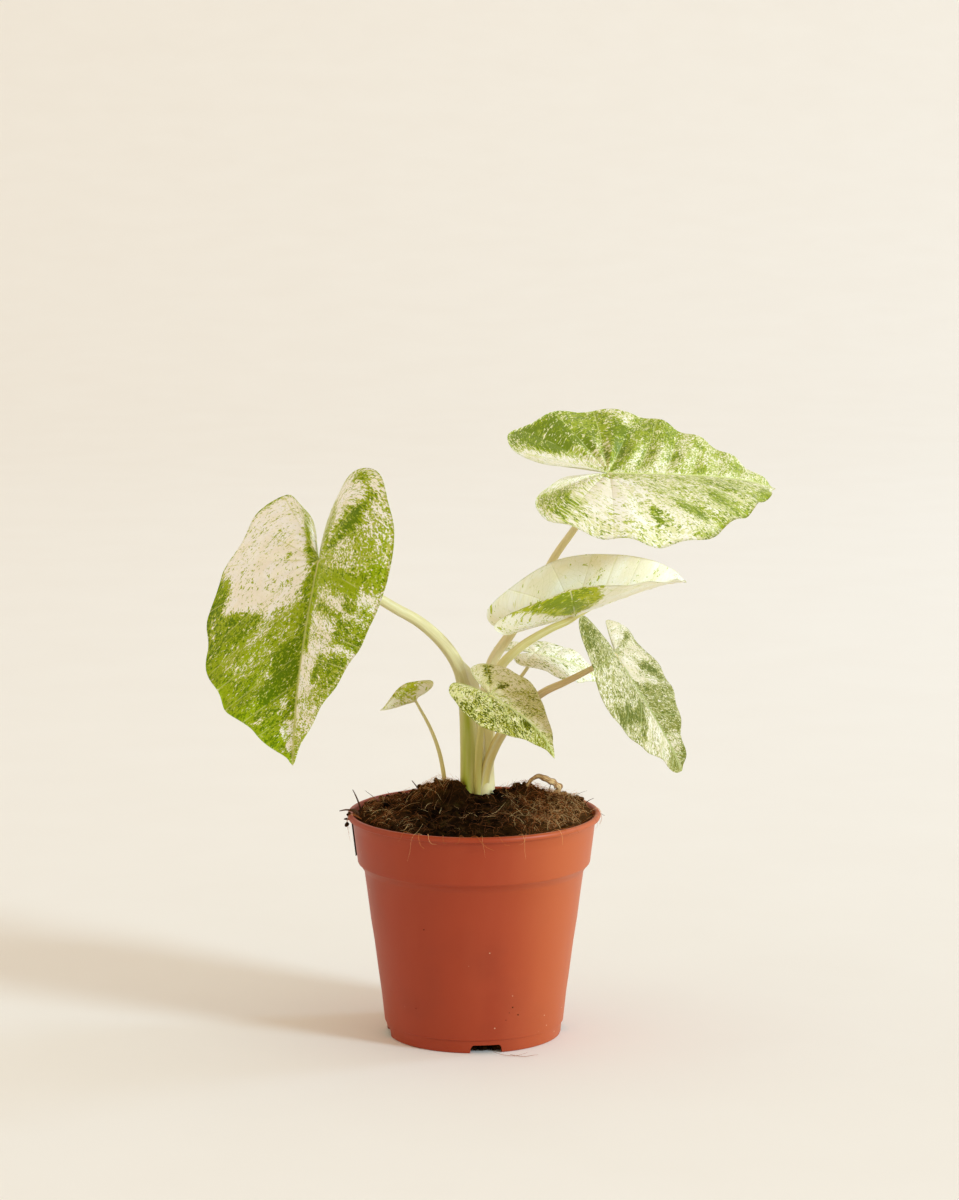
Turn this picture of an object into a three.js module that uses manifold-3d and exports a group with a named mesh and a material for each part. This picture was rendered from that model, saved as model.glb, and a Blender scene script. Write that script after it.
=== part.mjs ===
// A young variegated giant taro: seven heart-shaped leaves on fleshy stalks, rooted in a mound of
// peat and coir in a round plastic nursery pot.
// Millimetres, +Z up. The pot's axis is the Z axis, the pot stands on Z = 0, and -Y is the front.
import * as THREE from "three";
import { mergeVertices } from "three/addons/utils/BufferGeometryUtils.js";
import Module from "manifold-3d";

const wasm = await Module();
wasm.setup();

// Clearances between pieces that touch
const GAP = 0.3;

// The pot: a 12 cm injection-moulded nursery pot
const POT = {
  height: 107,
  rimRadius: 60,
  beadHeight: 2.6,
  beadFlat: 1.2,
  collarRadius: 57.6,
  collarFootRadius: 55.2,
  collarFootZ: 83.6,
  shoulderRadius: 52.2,
  shoulderZ: 79.8,
  waistRadius: 47.4,
  waistZ: 45,
  footRadius: 41.8,
  footBandZ: 6.5,
  footBandStep: 0.35,
  footFlare: 0.6,
  footBevel: 0.8,
  edgeRound: 0.8,
  wall: 1.3,
  base: 1.6,
  sides: 48,
};

// Drain channels under the edge of the base, each opening through the foot of the wall
const DRAIN = {
  count: 4,
  firstAngle: -82,
  width: 15.5,
  flare: 1,
  height: 4,
  innerRadius: 29,
  roof: 1.2,
  slotWidth: 9,
  slotLength: 4,
  slotRadius: 34.5,
};

// The blank film label that is stuck round the back left of the collar
const LABEL = { fromAngle: 142, toAngle: 179, bottomZ: 85, topZ: 103, thickness: 0.6, steps: 10 };

// The peat: its edge at the wall, the dome over it, and the lumps that stand out of the dome
const SOIL = {
  edgeZ: 104.6,
  domeRise: 6.4,
  rings: 8,
  sides: 36,
  roughness: 0.9,
  lumps: [
    { x: -13, y: -1, radius: 7, rise: 8.5 },
    { x: -23, y: 3, radius: 7, rise: 6 },
    { x: 3, y: 4, radius: 8, rise: 3 },
    { x: 25, y: 24, radius: 8, rise: 6 },
    { x: 46, y: 9, radius: 11, rise: 5 },
    { x: -48, y: 4, radius: 8, rise: 3 },
    { x: -30, y: 22, radius: 9, rise: 2.5 },
    { x: 8, y: -38, radius: 12, rise: 2 },
  ],
};
const CRUMB = { count: 36, smallest: 0.9, largest: 2.4, seed: 11 };
const FIBRE = { count: 20, radius: 0.36, shortest: 7, longest: 15, seed: 5 };

// Coir strands that hang over the rim: the angle where each crosses it, how far down it hangs
// outside and how far it drifts sideways, in degrees
const HANGING = [
  { angle: -117, drop: 13, drift: -5 },
  { angle: -113, drop: 5, drift: 4 },
  { angle: -88, drop: 8, drift: 3 },
  { angle: -84, drop: 12, drift: -2 },
  { angle: -66, drop: 12, drift: 2 },
  { angle: -43, drop: 9, drift: 4 },
  { angle: -172, drop: 9, drift: 1 },
  { angle: -3, drop: 5, drift: -4 },
];

// Twigs and stiff strands that stand out of the peat, from a foot to a tip
const TWIGS = [
  { foot: [-24, 4, 112], tip: [-29.5, 6, 120.5], radius: 0.5 },
  { foot: [-55, 6, 105], tip: [-59.5, 4, 117], radius: 0.55 },
  { foot: [-50, -5, 106], tip: [-63, -8, 111.5], radius: 0.8 },
  { foot: [52, 10, 107], tip: [60.5, 8, 114], radius: 0.45 },
  { foot: [36, 26, 109], tip: [37.5, 27, 121], radius: 0.4 },
];

// A dry, curled shred of old sheath that arches out of the peat at the back right
const SHRED = {
  path: [[25, 19, 111], [27, 20, 116.5], [31.5, 20, 119.5], [36, 20, 118.6], [38, 20.5, 114.5],
    [41.5, 21, 109.5]],
  width: 3.6,
  thickness: 0.8,
  steps: 16,
};

// Blades. Lengths in millimetres: length runs from the stalk to the tip, and each half has its own
// width and back lobe. Angles in degrees: heading turns from +X towards +Y, pitch rises above the
// horizon, roll leans the blade about its midrib, fold lifts a half from the midrib and curl bends
// it back. spread, shoulder and taper are shares of the width that shape the outline.
const LEAVES = [
  {
    name: "large_left", at: [-71.5, -36, 232], heading: 254, pitch: -55, roll: 34, length: 111,
    shoulder: 0.9, taper: 0.64, droop: -7, sweep: 23, twist: -20, lobeDroop: -11,
    left: { width: 52, lobe: 38, spread: 0.58, fold: 21, curl: 47 },
    right: { width: 63, lobe: 38, spread: 0.42, fold: 20, curl: 24 },
    midrib: 2, wave: 0.9, quilt: 0.9, veins: 7, lobeVeins: 5, colour: 0x93a84e,
  },
  {
    name: "large_right", at: [63, 8, 267.5], heading: 22, pitch: -4, roll: 28, length: 105,
    shoulder: 0.9, taper: 0.56, droop: 30, sweep: 24, twist: 8, lobeDroop: 14,
    left: { width: 47, lobe: 43, spread: 0.52, fold: 12, curl: 13 },
    right: { width: 52, lobe: 45, spread: 0.54, fold: 14, curl: 40 },
    midrib: 1.8, wave: 0.9, quilt: 0.8, veins: 7, lobeVeins: 5, colour: 0xb3bd74,
  },
  {
    name: "folded_right", at: [47, -6.5, 202.5], heading: 3, pitch: 19, roll: 44, length: 63,
    shoulder: 0.88, taper: 0.58, droop: 57, sweep: 28, twist: 25, lobeDroop: 26,
    left: { width: 27, lobe: 36, spread: 0.58, fold: 47, curl: 4 },
    right: { width: 33, lobe: 29, spread: 0.78, fold: 62, curl: -26 },
    midrib: 1.5, wave: 0.5, quilt: 0.4, veins: 5, lobeVeins: 4, colour: 0xd8d79c,
  },
  {
    name: "drooping_right", at: [65.5, -29, 188], heading: -13, pitch: -58, roll: 16, length: 67,
    shoulder: 0.92, taper: 0.62, droop: 24, sweep: 27, twist: 33, lobeDroop: 10,
    left: { width: 27, lobe: 15, spread: 0.4, fold: 6, curl: 23 },
    right: { width: 34, lobe: 23, spread: 0.42, fold: 20, curl: 25 },
    midrib: 1.3, wave: 0.6, quilt: 0.5, veins: 6, lobeVeins: 3, colour: 0x9cab74,
  },
  {
    name: "small_front", at: [7.5, -35.5, 169.5], heading: -19, pitch: -29, roll: 15, length: 44,
    shoulder: 0.92, taper: 0.54, droop: 56, sweep: 15, twist: 3, lobeDroop: 3,
    left: { width: 22, lobe: 16, spread: 0.46, fold: 12, curl: 4 },
    right: { width: 22, lobe: 17, spread: 0.46, fold: 11, curl: 35 },
    midrib: 1.1, wave: 0.4, quilt: 0.35, veins: 5, lobeVeins: 3, colour: 0x9fa65a,
  },
  {
    name: "pale_back", at: [29, 24, 179], heading: 21, pitch: -14, roll: 8, length: 40,
    shoulder: 0.88, taper: 0.64, droop: 37, sweep: 1, twist: 32, lobeDroop: 36,
    left: { width: 18, lobe: 18, spread: 0.52, fold: 8, curl: 14 },
    right: { width: 21, lobe: 14, spread: 0.5, fold: 2, curl: 23 },
    midrib: 1, wave: 0.4, quilt: 0.3, veins: 4, lobeVeins: 3, colour: 0xd5dabd,
  },
  {
    name: "tiny_left", at: [-28, 2.5, 160.5], heading: 202, pitch: -18, roll: 7, length: 18,
    shoulder: 0.88, taper: 0.56, droop: -13, sweep: 2, twist: 2, lobeDroop: 17,
    left: { width: 10, lobe: 9, spread: 0.62, fold: 60, curl: 0 },
    right: { width: 9, lobe: 8, spread: 0.66, fold: 60, curl: 0 },
    midrib: 0.8, wave: 0, quilt: 0, veins: 3, lobeVeins: 2, colour: 0xa9a45c,
  },
];

// Blade build: the lean of the side veins, half the thickness of the flesh, the rise of the side
// ribs under it, half the width of the midrib, the steps that the midrib's curve is summed in, and
// the rows of points along each vein as shares of its length
const BLADE = {
  veinLean: 0.7,
  halfThickness: 0.34,
  ribHeight: 0.35,
  midribHalfWidth: 1.3,
  midribSteps: 24,
  outlineSteps: 12,
  rows: [0, 0.06, 0.36, 0.7, 1],
};

// Stalks from the crown in the peat to the blade, as points on the centre line, with the radius at
// the crown, where the sheath ends, and at the blade
const STALKS = [
  {
    name: "large_left", crownRadius: 3.7, neckRadius: 3.2, tipRadius: 1.9, colour: 0xa6a24a,
    path: [[-3, 1, 104], [-2.9, 0.8, 118], [-3.1, 0, 140], [-4, -4, 160], [-6.5, -9, 176],
      [-13.5, -15, 189], [-25, -22, 201], [-37, -28, 209], [-52, -33, 219], [-64, -35, 227]],
  },
  {
    name: "large_right", crownRadius: 3, neckRadius: 2.4, tipRadius: 1.4, colour: 0xb4ab66,
    path: [[1.5, 9, 104], [2, 9, 118], [3, 9.5, 140], [5, 10, 158], [8.5, 10.5, 176],
      [18.5, 11, 192], [29, 11, 209], [38, 11, 227], [49, 10.5, 243], [60, 9, 262]],
  },
  {
    name: "folded_right", crownRadius: 3, neckRadius: 2.7, tipRadius: 1.6, colour: 0xb5b052,
    path: [[7, 4, 104], [7, 3.6, 118], [7, 3, 138], [8, 2, 158], [11, 0, 174], [21.5, -3, 186],
      [36, -4.6, 195.3], [43.5, -4.2, 198.6], [46.6, -4.9, 200.6]],
  },
  {
    name: "drooping_right", crownRadius: 2.7, neckRadius: 2.3, tipRadius: 1.1, colour: 0xad8f52,
    path: [[4.8, -4.2, 104], [5.4, -4.6, 118], [7.3, -6, 132], [13, -8.5, 146], [22, -12, 158],
      [33, -17, 167.5], [42, -21, 172.5], [55, -25, 180], [63, -28, 185.5]],
  },
  {
    name: "small_front", crownRadius: 2.2, neckRadius: 1.8, tipRadius: 1.1, colour: 0x9da248,
    path: [[0.4, -4.6, 104], [0.6, -5.8, 118], [1.8, -9.5, 134], [3.8, -17, 150], [5.8, -27, 163],
      [6.8, -32.5, 167.5]],
  },
  {
    name: "pale_back", crownRadius: 1.5, neckRadius: 1.2, tipRadius: 0.8, colour: 0xb3ad70,
    path: [[5.6, 9.8, 104], [5.8, 10, 118], [6.5, 11, 134], [9.5, 13, 148], [17, 17.5, 161],
      [25, 21.5, 171.5], [28, 23.4, 176.5]],
  },
  {
    name: "tiny_left", crownRadius: 1.2, neckRadius: 1, tipRadius: 0.65, colour: 0xa6a24a,
    path: [[-13.5, 7, 106], [-14, 6.6, 120], [-16.4, 5.6, 134], [-20.6, 4.4, 146], [-26, 3.2, 156.5],
      [-27.6, 2.7, 159.5]],
  },
];

// Stalk build: the sides of its section, the share of its length where the sheath ends, and the
// size of the block that trims it under its blade
const STALK = { sides: 9, neck: 0.45, seatBlock: 16 };

// The pale membrane of the largest stalk's sheath: rows of a point on the stalk and one on its edge
const SHEATH = {
  rows: [
    [[-1.5, 1, 116], [4.2, 1.4, 116]],
    [[-1.5, 0.8, 128], [5.2, 1, 128]],
    [[-1.6, 0.3, 141], [5.2, 0.6, 141]],
    [[-2.2, -2.5, 154], [4, -2.2, 155]],
    [[-3.6, -6, 166], [2.6, -5.6, 168]],
    [[-6.5, -9, 176], [0.2, -9.4, 175]],
    [[-10.5, -12.8, 184], [-9.2, -12.8, 185.6]],
  ],
  thickness: 0.8,
};

// Surface finishes: colour, and roughness from 0 for a mirror to 1 for chalk
const FINISH = {
  pot: { colour: 0xb5512f, roughness: 0.45 },
  label: { colour: 0x2b2622, roughness: 0.6 },
  soil: { colour: 0x2e2015, roughness: 0.95 },
  dryShred: { colour: 0xb08a5a, roughness: 0.85 },
  bladeRoughness: 0.42,
  stalkRoughness: 0.5,
};

const degrees = THREE.MathUtils.degToRad;

// A seeded source of numbers from 0 to 1.
function seeded(seed) {
  let state = seed;
  return () => {
    state = (state * 1664525 + 1013904223) % 4294967296;
    return state / 4294967296;
  };
}

// A geometry from points and triples of point numbers.
function geometryOf(points, triangles) {
  const geometry = new THREE.BufferGeometry();
  const places = points.flatMap((p) => [p.x, p.y, p.z]);
  geometry.setAttribute("position", new THREE.Float32BufferAttribute(places, 3));
  geometry.setIndex(triangles.flat());
  return geometry;
}

// A closed geometry as a solid that can be cut and joined.
function solidOf(geometry) {
  const bare = geometry.clone();
  bare.deleteAttribute("normal");
  bare.deleteAttribute("uv");
  const merged = mergeVertices(bare, 1e-4);
  return new wasm.Manifold(
    new wasm.Mesh({
      numProp: 3,
      vertProperties: new Float32Array(merged.attributes.position.array),
      triVerts: new Uint32Array(merged.index.array),
    }),
  );
}

// A solid as a geometry with flat-shaded faces.
function geometryFrom(solid) {
  const mesh = solid.getMesh();
  const geometry = new THREE.BufferGeometry();
  const places = new Float32Array(mesh.vertProperties);
  geometry.setAttribute("position", new THREE.BufferAttribute(places, 3));
  geometry.setIndex(new THREE.BufferAttribute(new Uint32Array(mesh.triVerts), 1));
  geometry.computeVertexNormals();
  return geometry;
}

// The largest body of a solid that a cut may have left in several.
function largestBody(solid) {
  return solid.decompose().reduce((best, body) => (body.volume() > best.volume() ? body : best));
}

// A named mesh of one solid with its own finish.
function meshOf(name, solid, colour, roughness) {
  const material = new THREE.MeshStandardMaterial({ color: colour, roughness, metalness: 0 });
  const mesh = new THREE.Mesh(geometryFrom(solid), material);
  mesh.name = name;
  return mesh;
}

// Closes a sheet: top and bottom points share the triangles, and the free edges are walled.
function thickSheet(top, bottom, triangles) {
  const lower = top.length;
  const faces = triangles.concat(triangles.map(([a, b, c]) => [c + lower, b + lower, a + lower]));
  const edges = new Set(triangles.flatMap(([a, b, c]) => [`${a},${b}`, `${b},${c}`, `${c},${a}`]));
  for (const edge of edges) {
    const [a, b] = edge.split(",").map(Number);
    if (!edges.has(`${b},${a}`)) faces.push([a, a + lower, b + lower], [a, b + lower, b]);
  }
  return geometryOf(top.concat(bottom), faces);
}

// A round stalk along a smooth path, with a radius for each share of its length.
function taperedTube(path, radiusAt, sides, steps) {
  const spots = path.map((p) => new THREE.Vector3(...p));
  const curve = new THREE.CatmullRomCurve3(spots, false, "centripetal");
  const frames = curve.computeFrenetFrames(steps, false);
  const points = [];
  const faces = [];
  for (let i = 0; i <= steps; i++) {
    const centre = curve.getPointAt(i / steps);
    for (let j = 0; j < sides; j++) {
      const angle = (2 * Math.PI * j) / sides;
      const radius = radiusAt(i / steps);
      const around = frames.normals[i].clone().multiplyScalar(radius * Math.cos(angle));
      around.addScaledVector(frames.binormals[i], radius * Math.sin(angle));
      points.push(centre.clone().add(around));
    }
  }
  for (let i = 0; i < steps; i++) {
    for (let j = 0; j < sides; j++) {
      const [a, b] = [i * sides + j, i * sides + ((j + 1) % sides)];
      faces.push([a, b, b + sides], [a, b + sides, a + sides]);
    }
  }
  const last = steps * sides;
  for (let j = 1; j < sides - 1; j++) {
    faces.push([0, j + 1, j], [last, last + j, last + j + 1]);
  }
  return geometryOf(points, faces);
}

// The outline of one half of a blade, from the stalk round the back lobe to the tip.
function halfOutline(leaf, half) {
  const { length, shoulder, taper } = leaf;
  const { width, lobe, spread } = half;
  const shape = [
    [0, 0],
    [-0.35 * lobe, 0.06 * width],
    [-0.72 * lobe, (0.06 + 0.25 * spread) * width],
    [-0.97 * lobe, 0.8 * spread * width],
    [-0.93 * lobe, Math.min(1, 1.25 * spread) * width],
    [-0.5 * lobe, (0.63 + 0.45 * spread) * width],
    [0.02 * length, width],
    [0.3 * length, shoulder * width],
    [0.58 * length, taper * width],
    [0.8 * length, 0.46 * taper * width],
    [0.93 * length, 0.14 * taper * width],
    [length, 0],
  ];
  const points = shape.map(([x, y]) => new THREE.Vector3(x, y, 0));
  const curve = new THREE.CatmullRomCurve3(points, false, "centripetal");
  return curve.getPoints(BLADE.outlineSteps * (shape.length - 1));
}

// The margin points where the side veins end: those of the back lobe all start at the stalk, and
// the rest start along the midrib and lean towards the tip.
function veinsOf(leaf, half) {
  const margin = halfOutline(leaf, half);
  const lead = margin.map((p) => p.x - BLADE.veinLean * p.y);
  const lastBefore = (foot) => lead.findLastIndex((value) => value <= foot);
  const onMargin = (foot) => {
    const i = lastBefore(foot);
    return margin[i].clone().lerp(margin[i + 1], (foot - lead[i]) / (lead[i + 1] - lead[i]));
  };
  const lobe = margin.slice(0, lastBefore(0) + 1).concat(onMargin(0));
  const reach = [0];
  lobe.slice(1).forEach((p, i) => reach.push(reach[i] + p.distanceTo(lobe[i])));
  const alongLobe = (share) => {
    const wanted = share * reach[reach.length - 1];
    const i = Math.max(1, reach.findIndex((value) => value >= wanted - 1e-9));
    return lobe[i - 1].clone().lerp(lobe[i], (wanted - reach[i - 1]) / (reach[i] - reach[i - 1]));
  };
  const lobeCount = 2 * leaf.lobeVeins + 2;
  const count = 2 * leaf.veins;
  const veins = [];
  for (let i = 1; i <= lobeCount; i++) veins.push({ foot: 0, end: alongLobe(i / lobeCount) });
  for (let i = 1; i < count; i++) {
    const foot = (leaf.length * i) / count;
    veins.push({ foot, end: onMargin(foot) });
  }
  veins.push({ foot: leaf.length, end: new THREE.Vector3(leaf.length, 0, 0) });
  return veins;
}

// The midrib as a curve in space: for a distance along it, the point, the direction across the
// blade and the direction out of its upper face.
function midribOf(leaf) {
  const lobe = Math.max(leaf.left.lobe, leaf.right.lobe);
  const [heading, pitch, roll] = [leaf.heading, leaf.pitch, leaf.roll].map(degrees);
  const ahead = new THREE.Vector3(
    Math.cos(pitch) * Math.cos(heading), Math.cos(pitch) * Math.sin(heading), Math.sin(pitch),
  );
  const level = new THREE.Vector3(-Math.sin(heading), Math.cos(heading), 0);
  const upright = ahead.clone().cross(level);
  const across = level.clone().multiplyScalar(Math.cos(roll)).addScaledVector(upright, Math.sin(roll));
  const basis = new THREE.Matrix4().makeBasis(ahead, across, ahead.clone().cross(across));
  const frameAt = (x) => {
    const share = Math.max(0, x / leaf.length);
    const bend = degrees(leaf.droop) * share ** 2 + degrees(leaf.lobeDroop) * Math.min(0, x / lobe);
    const turn = degrees(leaf.sweep) * share ** 1.5;
    const lean = degrees(leaf.twist) * share;
    const tangent = new THREE.Vector3(
      Math.cos(bend) * Math.cos(turn), Math.cos(bend) * Math.sin(turn), -Math.sin(bend),
    );
    const flat = new THREE.Vector3(-Math.sin(turn), Math.cos(turn), 0);
    const normal = tangent.clone().cross(flat);
    const side = flat.clone().multiplyScalar(Math.cos(lean)).addScaledVector(normal, Math.sin(lean));
    return { tangent, side, normal: tangent.clone().cross(side) };
  };
  const pointAt = (x) => {
    const steps = BLADE.midribSteps;
    const point = new THREE.Vector3();
    for (let i = 0; i < steps; i++) {
      point.addScaledVector(frameAt((x * (i + 0.5)) / steps).tangent, x / steps);
    }
    return point;
  };
  return (x) => {
    const { side, normal } = frameAt(x);
    return {
      point: pointAt(x).applyMatrix4(basis).add(new THREE.Vector3(...leaf.at)),
      side: side.transformDirection(basis),
      normal: normal.transformDirection(basis),
    };
  };
}

// A point of the folded and bent blade and the direction out of its upper face there. sign is 1 on
// the left half and -1 on the right half, and y is the distance from the midrib.
function bladePoint(midrib, half, sign, x, y) {
  const { point, side, normal } = midrib(x);
  const fold = degrees(half.fold);
  const bend = (degrees(half.curl) * y) / half.width;
  const chord = Math.abs(bend) < 1e-6 ? y : (2 * y * Math.sin(bend / 2)) / bend;
  const slope = fold - bend / 2;
  const tilt = fold - bend;
  return {
    point: point.clone()
      .addScaledVector(side, sign * chord * Math.cos(slope))
      .addScaledVector(normal, chord * Math.sin(slope)),
    normal: normal.clone().multiplyScalar(Math.cos(tilt)).addScaledVector(side, -sign * Math.sin(tilt)),
  };
}

// A blade as a closed sheet with a keeled midrib, sunk side veins and a waved margin. clearance
// makes it thicker all over, for cutting what would touch it.
function bladeGeometry(leaf, clearance = 0) {
  const midrib = midribOf(leaf);
  const top = [];
  const bottom = [];
  const triangles = [];
  const lobeCount = 2 * leaf.lobeVeins + 2;
  const mainCount = 2 * leaf.veins;
  const addPoint = ({ point, normal }, relief, above, below) => {
    top.push(point.clone().addScaledVector(normal, relief + above + clearance));
    bottom.push(point.clone().addScaledVector(normal, relief - below - clearance));
    return top.length - 1;
  };
  const ridge = [];
  for (let i = 0; i <= mainCount; i++) {
    const share = i / mainCount;
    const keel = BLADE.halfThickness + leaf.midrib * (1 - share) ** 0.8;
    ridge.push(addPoint(midrib(leaf.length * share), 0, BLADE.halfThickness, keel));
  }
  for (const [half, sign] of [[leaf.left, 1], [leaf.right, -1]]) {
    const rows = BLADE.rows.slice();
    rows[1] = Math.max(rows[1], BLADE.midribHalfWidth / half.width);
    const grid = veinsOf(leaf, half).map(({ foot, end }, i) => {
      const main = Math.max(0, i + 1 - lobeCount);
      if (main === mainCount) return rows.map(() => ridge[mainCount]);
      const sunk = (i + 1) % 2 === 0;
      return rows.map((row, k) => {
        if (k === 0) return ridge[main];
        const x = foot + (end.x - foot) * row;
        const quilt = leaf.quilt * (sunk ? -0.5 : 0.5) * Math.sin(Math.PI * row);
        const wave = leaf.wave * row ** 2 * Math.sin(1.9 * i + sign);
        const rib = sunk ? BLADE.ribHeight * (1 - row) : 0;
        const spot = bladePoint(midrib, half, sign, x, end.y * row);
        return addPoint(spot, quilt + wave, BLADE.halfThickness, BLADE.halfThickness + rib);
      });
    });
    for (let i = 0; i < grid.length - 1; i++) {
      for (let k = 0; k < rows.length - 1; k++) {
        const [a, b, c, d] = [grid[i][k], grid[i + 1][k], grid[i + 1][k + 1], grid[i][k + 1]];
        const pair = sign > 0 ? [[a, b, c], [a, c, d]] : [[a, c, b], [a, d, c]];
        triangles.push(...pair.filter(([p, q, r]) => p !== q && q !== r && p !== r));
      }
    }
  }
  return thickSheet(top, bottom, triangles);
}

// The radius of a stalk along its length: it swells at the sheath and thins towards the blade.
function stalkRadius(stalk, share) {
  const { crownRadius, neckRadius, tipRadius } = stalk;
  const { neck } = STALK;
  if (share < neck) return THREE.MathUtils.lerp(crownRadius, neckRadius, share / neck);
  return THREE.MathUtils.lerp(neckRadius, tipRadius, (share - neck) / (1 - neck));
}

// The path of a stalk, which ends where its blade starts.
function stalkPath(stalk) {
  return stalk.path.concat([LEAVES.find((leaf) => leaf.name === stalk.name).at]);
}

// A stalk as a solid, with extra radius where it cuts its neighbours.
function stalkSolid(stalk, extra = 0) {
  const steps = 3 * stalk.path.length;
  const radiusAt = (share) => stalkRadius(stalk, share) + extra;
  return solidOf(taperedTube(stalkPath(stalk), radiusAt, STALK.sides, steps));
}

// A block over the spot where a stalk meets its blade: it cuts the stalk off flat under the keel.
function seatCutter(leaf) {
  const { point, side, normal } = midribOf(leaf)(0);
  const size = STALK.seatBlock;
  const below = BLADE.halfThickness + leaf.midrib + GAP;
  const block = new THREE.BoxGeometry(size, size, size).translate(0, 0, size / 2 - below);
  const turn = new THREE.Matrix4().makeBasis(side.clone().cross(normal), side, normal);
  return solidOf(block.applyMatrix4(turn.setPosition(point)));
}

// The thin membrane that runs up the inner side of the largest stalk.
function sheathSolid(extra = 0) {
  const half = SHEATH.thickness / 2 + extra;
  const inner = SHEATH.rows.map(([point]) => new THREE.Vector3(...point));
  const outer = SHEATH.rows.map(([, point]) => new THREE.Vector3(...point));
  const middle = inner.flatMap((p, i) => {
    const outwards = outer[i].clone().sub(p).normalize();
    return [p, outer[i].clone().addScaledVector(outwards, extra)];
  });
  const shift = (amount) => middle.map((p) => p.clone().add(new THREE.Vector3(0, amount, 0)));
  const triangles = [];
  for (let i = 0; i < inner.length - 1; i++) {
    const a = 2 * i;
    triangles.push([a, a + 1, a + 3], [a, a + 3, a + 2]);
  }
  return solidOf(thickSheet(shift(-half), shift(half), triangles));
}

// The outside of the pot from the middle of its base to the top of its rim, as [radius, height].
function potOutside() {
  const p = POT;
  const beadZ = p.height - p.beadHeight;
  return [
    [0, 0],
    [p.footRadius - p.footBandStep - p.footBevel, 0],
    [p.footRadius - p.footBandStep, p.footBevel],
    [p.footRadius + p.footFlare - p.footBandStep, p.footBandZ - p.footBandStep],
    [p.footRadius + p.footFlare, p.footBandZ],
    [p.waistRadius, p.waistZ],
    [p.shoulderRadius, p.shoulderZ],
    [p.collarFootRadius - p.edgeRound / 2, p.collarFootZ - p.edgeRound],
    [p.collarFootRadius, p.collarFootZ],
    [p.collarRadius, beadZ - p.edgeRound],
    [p.rimRadius - p.edgeRound / 2, beadZ],
    [p.rimRadius, beadZ + p.beadHeight / 2],
    [p.rimRadius - p.edgeRound, p.height - p.edgeRound / 4],
    [p.rimRadius - p.beadFlat, p.height],
  ];
}

// The inside of the pot from the rim down to the middle of its floor, as [radius, height].
function potInside() {
  const p = POT;
  return [
    [p.rimRadius - p.beadFlat - p.wall, p.height - p.edgeRound],
    [p.collarRadius - p.wall, p.height - p.beadHeight - p.edgeRound],
    [p.collarFootRadius - p.wall, p.collarFootZ + p.edgeRound],
    [p.shoulderRadius - p.wall, p.shoulderZ + p.edgeRound],
    [p.waistRadius - p.wall, p.waistZ],
    [p.footRadius + p.footFlare - p.wall, p.footBandZ],
    [p.footRadius - p.wall, p.base],
    [0, p.base],
  ];
}

// A solid of revolution about Z from [radius, height] pairs.
function turned(profile, sides) {
  const lathe = new THREE.LatheGeometry(profile.map(([r, z]) => new THREE.Vector2(r, z)), sides);
  return solidOf(lathe.rotateX(Math.PI / 2));
}

// The angles of the drain channels round the pot.
function drainAngles() {
  return Array.from({ length: DRAIN.count }, (_, i) => DRAIN.firstAngle + (360 / DRAIN.count) * i);
}

// A radial bar with sloped sides, standing on Z = 0, for a drain channel or its roof.
function channelBar(width, height, from, to, angle) {
  const half = width / 2;
  const shape = new THREE.Shape([
    new THREE.Vector2(-half, -1),
    new THREE.Vector2(half, -1),
    new THREE.Vector2(half - DRAIN.flare, height),
    new THREE.Vector2(-half + DRAIN.flare, height),
  ]);
  const bar = new THREE.ExtrudeGeometry(shape, { depth: to - from, bevelEnabled: false });
  bar.rotateX(Math.PI / 2).rotateZ(Math.PI / 2).translate(from, 0, 0).rotateZ(degrees(angle));
  return solidOf(bar);
}

// The pot with its roofed drain channels and the slots through the roofs.
function potSolid() {
  const outside = turned([...potOutside(), [0, POT.height]], POT.sides);
  let pot = turned([...potOutside(), ...potInside()], POT.sides);
  for (const angle of drainAngles()) {
    const reach = POT.footRadius + 5;
    const [width, height] = [DRAIN.width, DRAIN.height];
    const [roofWidth, roofHeight] = [width + 2 * DRAIN.roof, height + DRAIN.roof];
    const roof = channelBar(roofWidth, roofHeight, DRAIN.innerRadius - DRAIN.roof, reach, angle);
    const floor = new THREE.BoxGeometry(200, 200, 2).translate(0, 0, -1);
    const slot = new THREE.BoxGeometry(DRAIN.slotLength, DRAIN.slotWidth, 10);
    slot.translate(DRAIN.slotRadius, 0, height).rotateZ(degrees(angle));
    pot = pot
      .add(roof.intersect(outside).subtract(solidOf(floor)))
      .subtract(channelBar(width, height, DRAIN.innerRadius, reach, angle))
      .subtract(solidOf(slot));
  }
  return pot;
}

// The roughness of the peat: a sum of short waves, the same at the same place.
function roughAt(x, y) {
  const coarse = Math.sin(0.31 * x + 1.3) * Math.cos(0.27 * y - 0.4);
  const medium = Math.sin(0.71 * x - 0.52 * y) * Math.cos(0.66 * y + 0.37 * x + 2);
  return SOIL.roughness * (0.6 * coarse + 0.7 * medium);
}

// The height of the peat at a place.
function soilHeight(x, y) {
  const share = Math.min(1, Math.hypot(x, y) / POT.collarRadius);
  const lumps = SOIL.lumps.map((lump) => {
    const distance = Math.hypot(x - lump.x, y - lump.y) / lump.radius;
    return lump.rise * Math.exp(-0.5 * distance ** 2);
  });
  const dome = SOIL.domeRise * (1 - share ** 2) + roughAt(x, y);
  const raised = lumps.reduce((sum, rise) => sum + rise, dome);
  const fade = Math.min(1, (1 - share) * 12);
  return SOIL.edgeZ + raised * fade;
}

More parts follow.
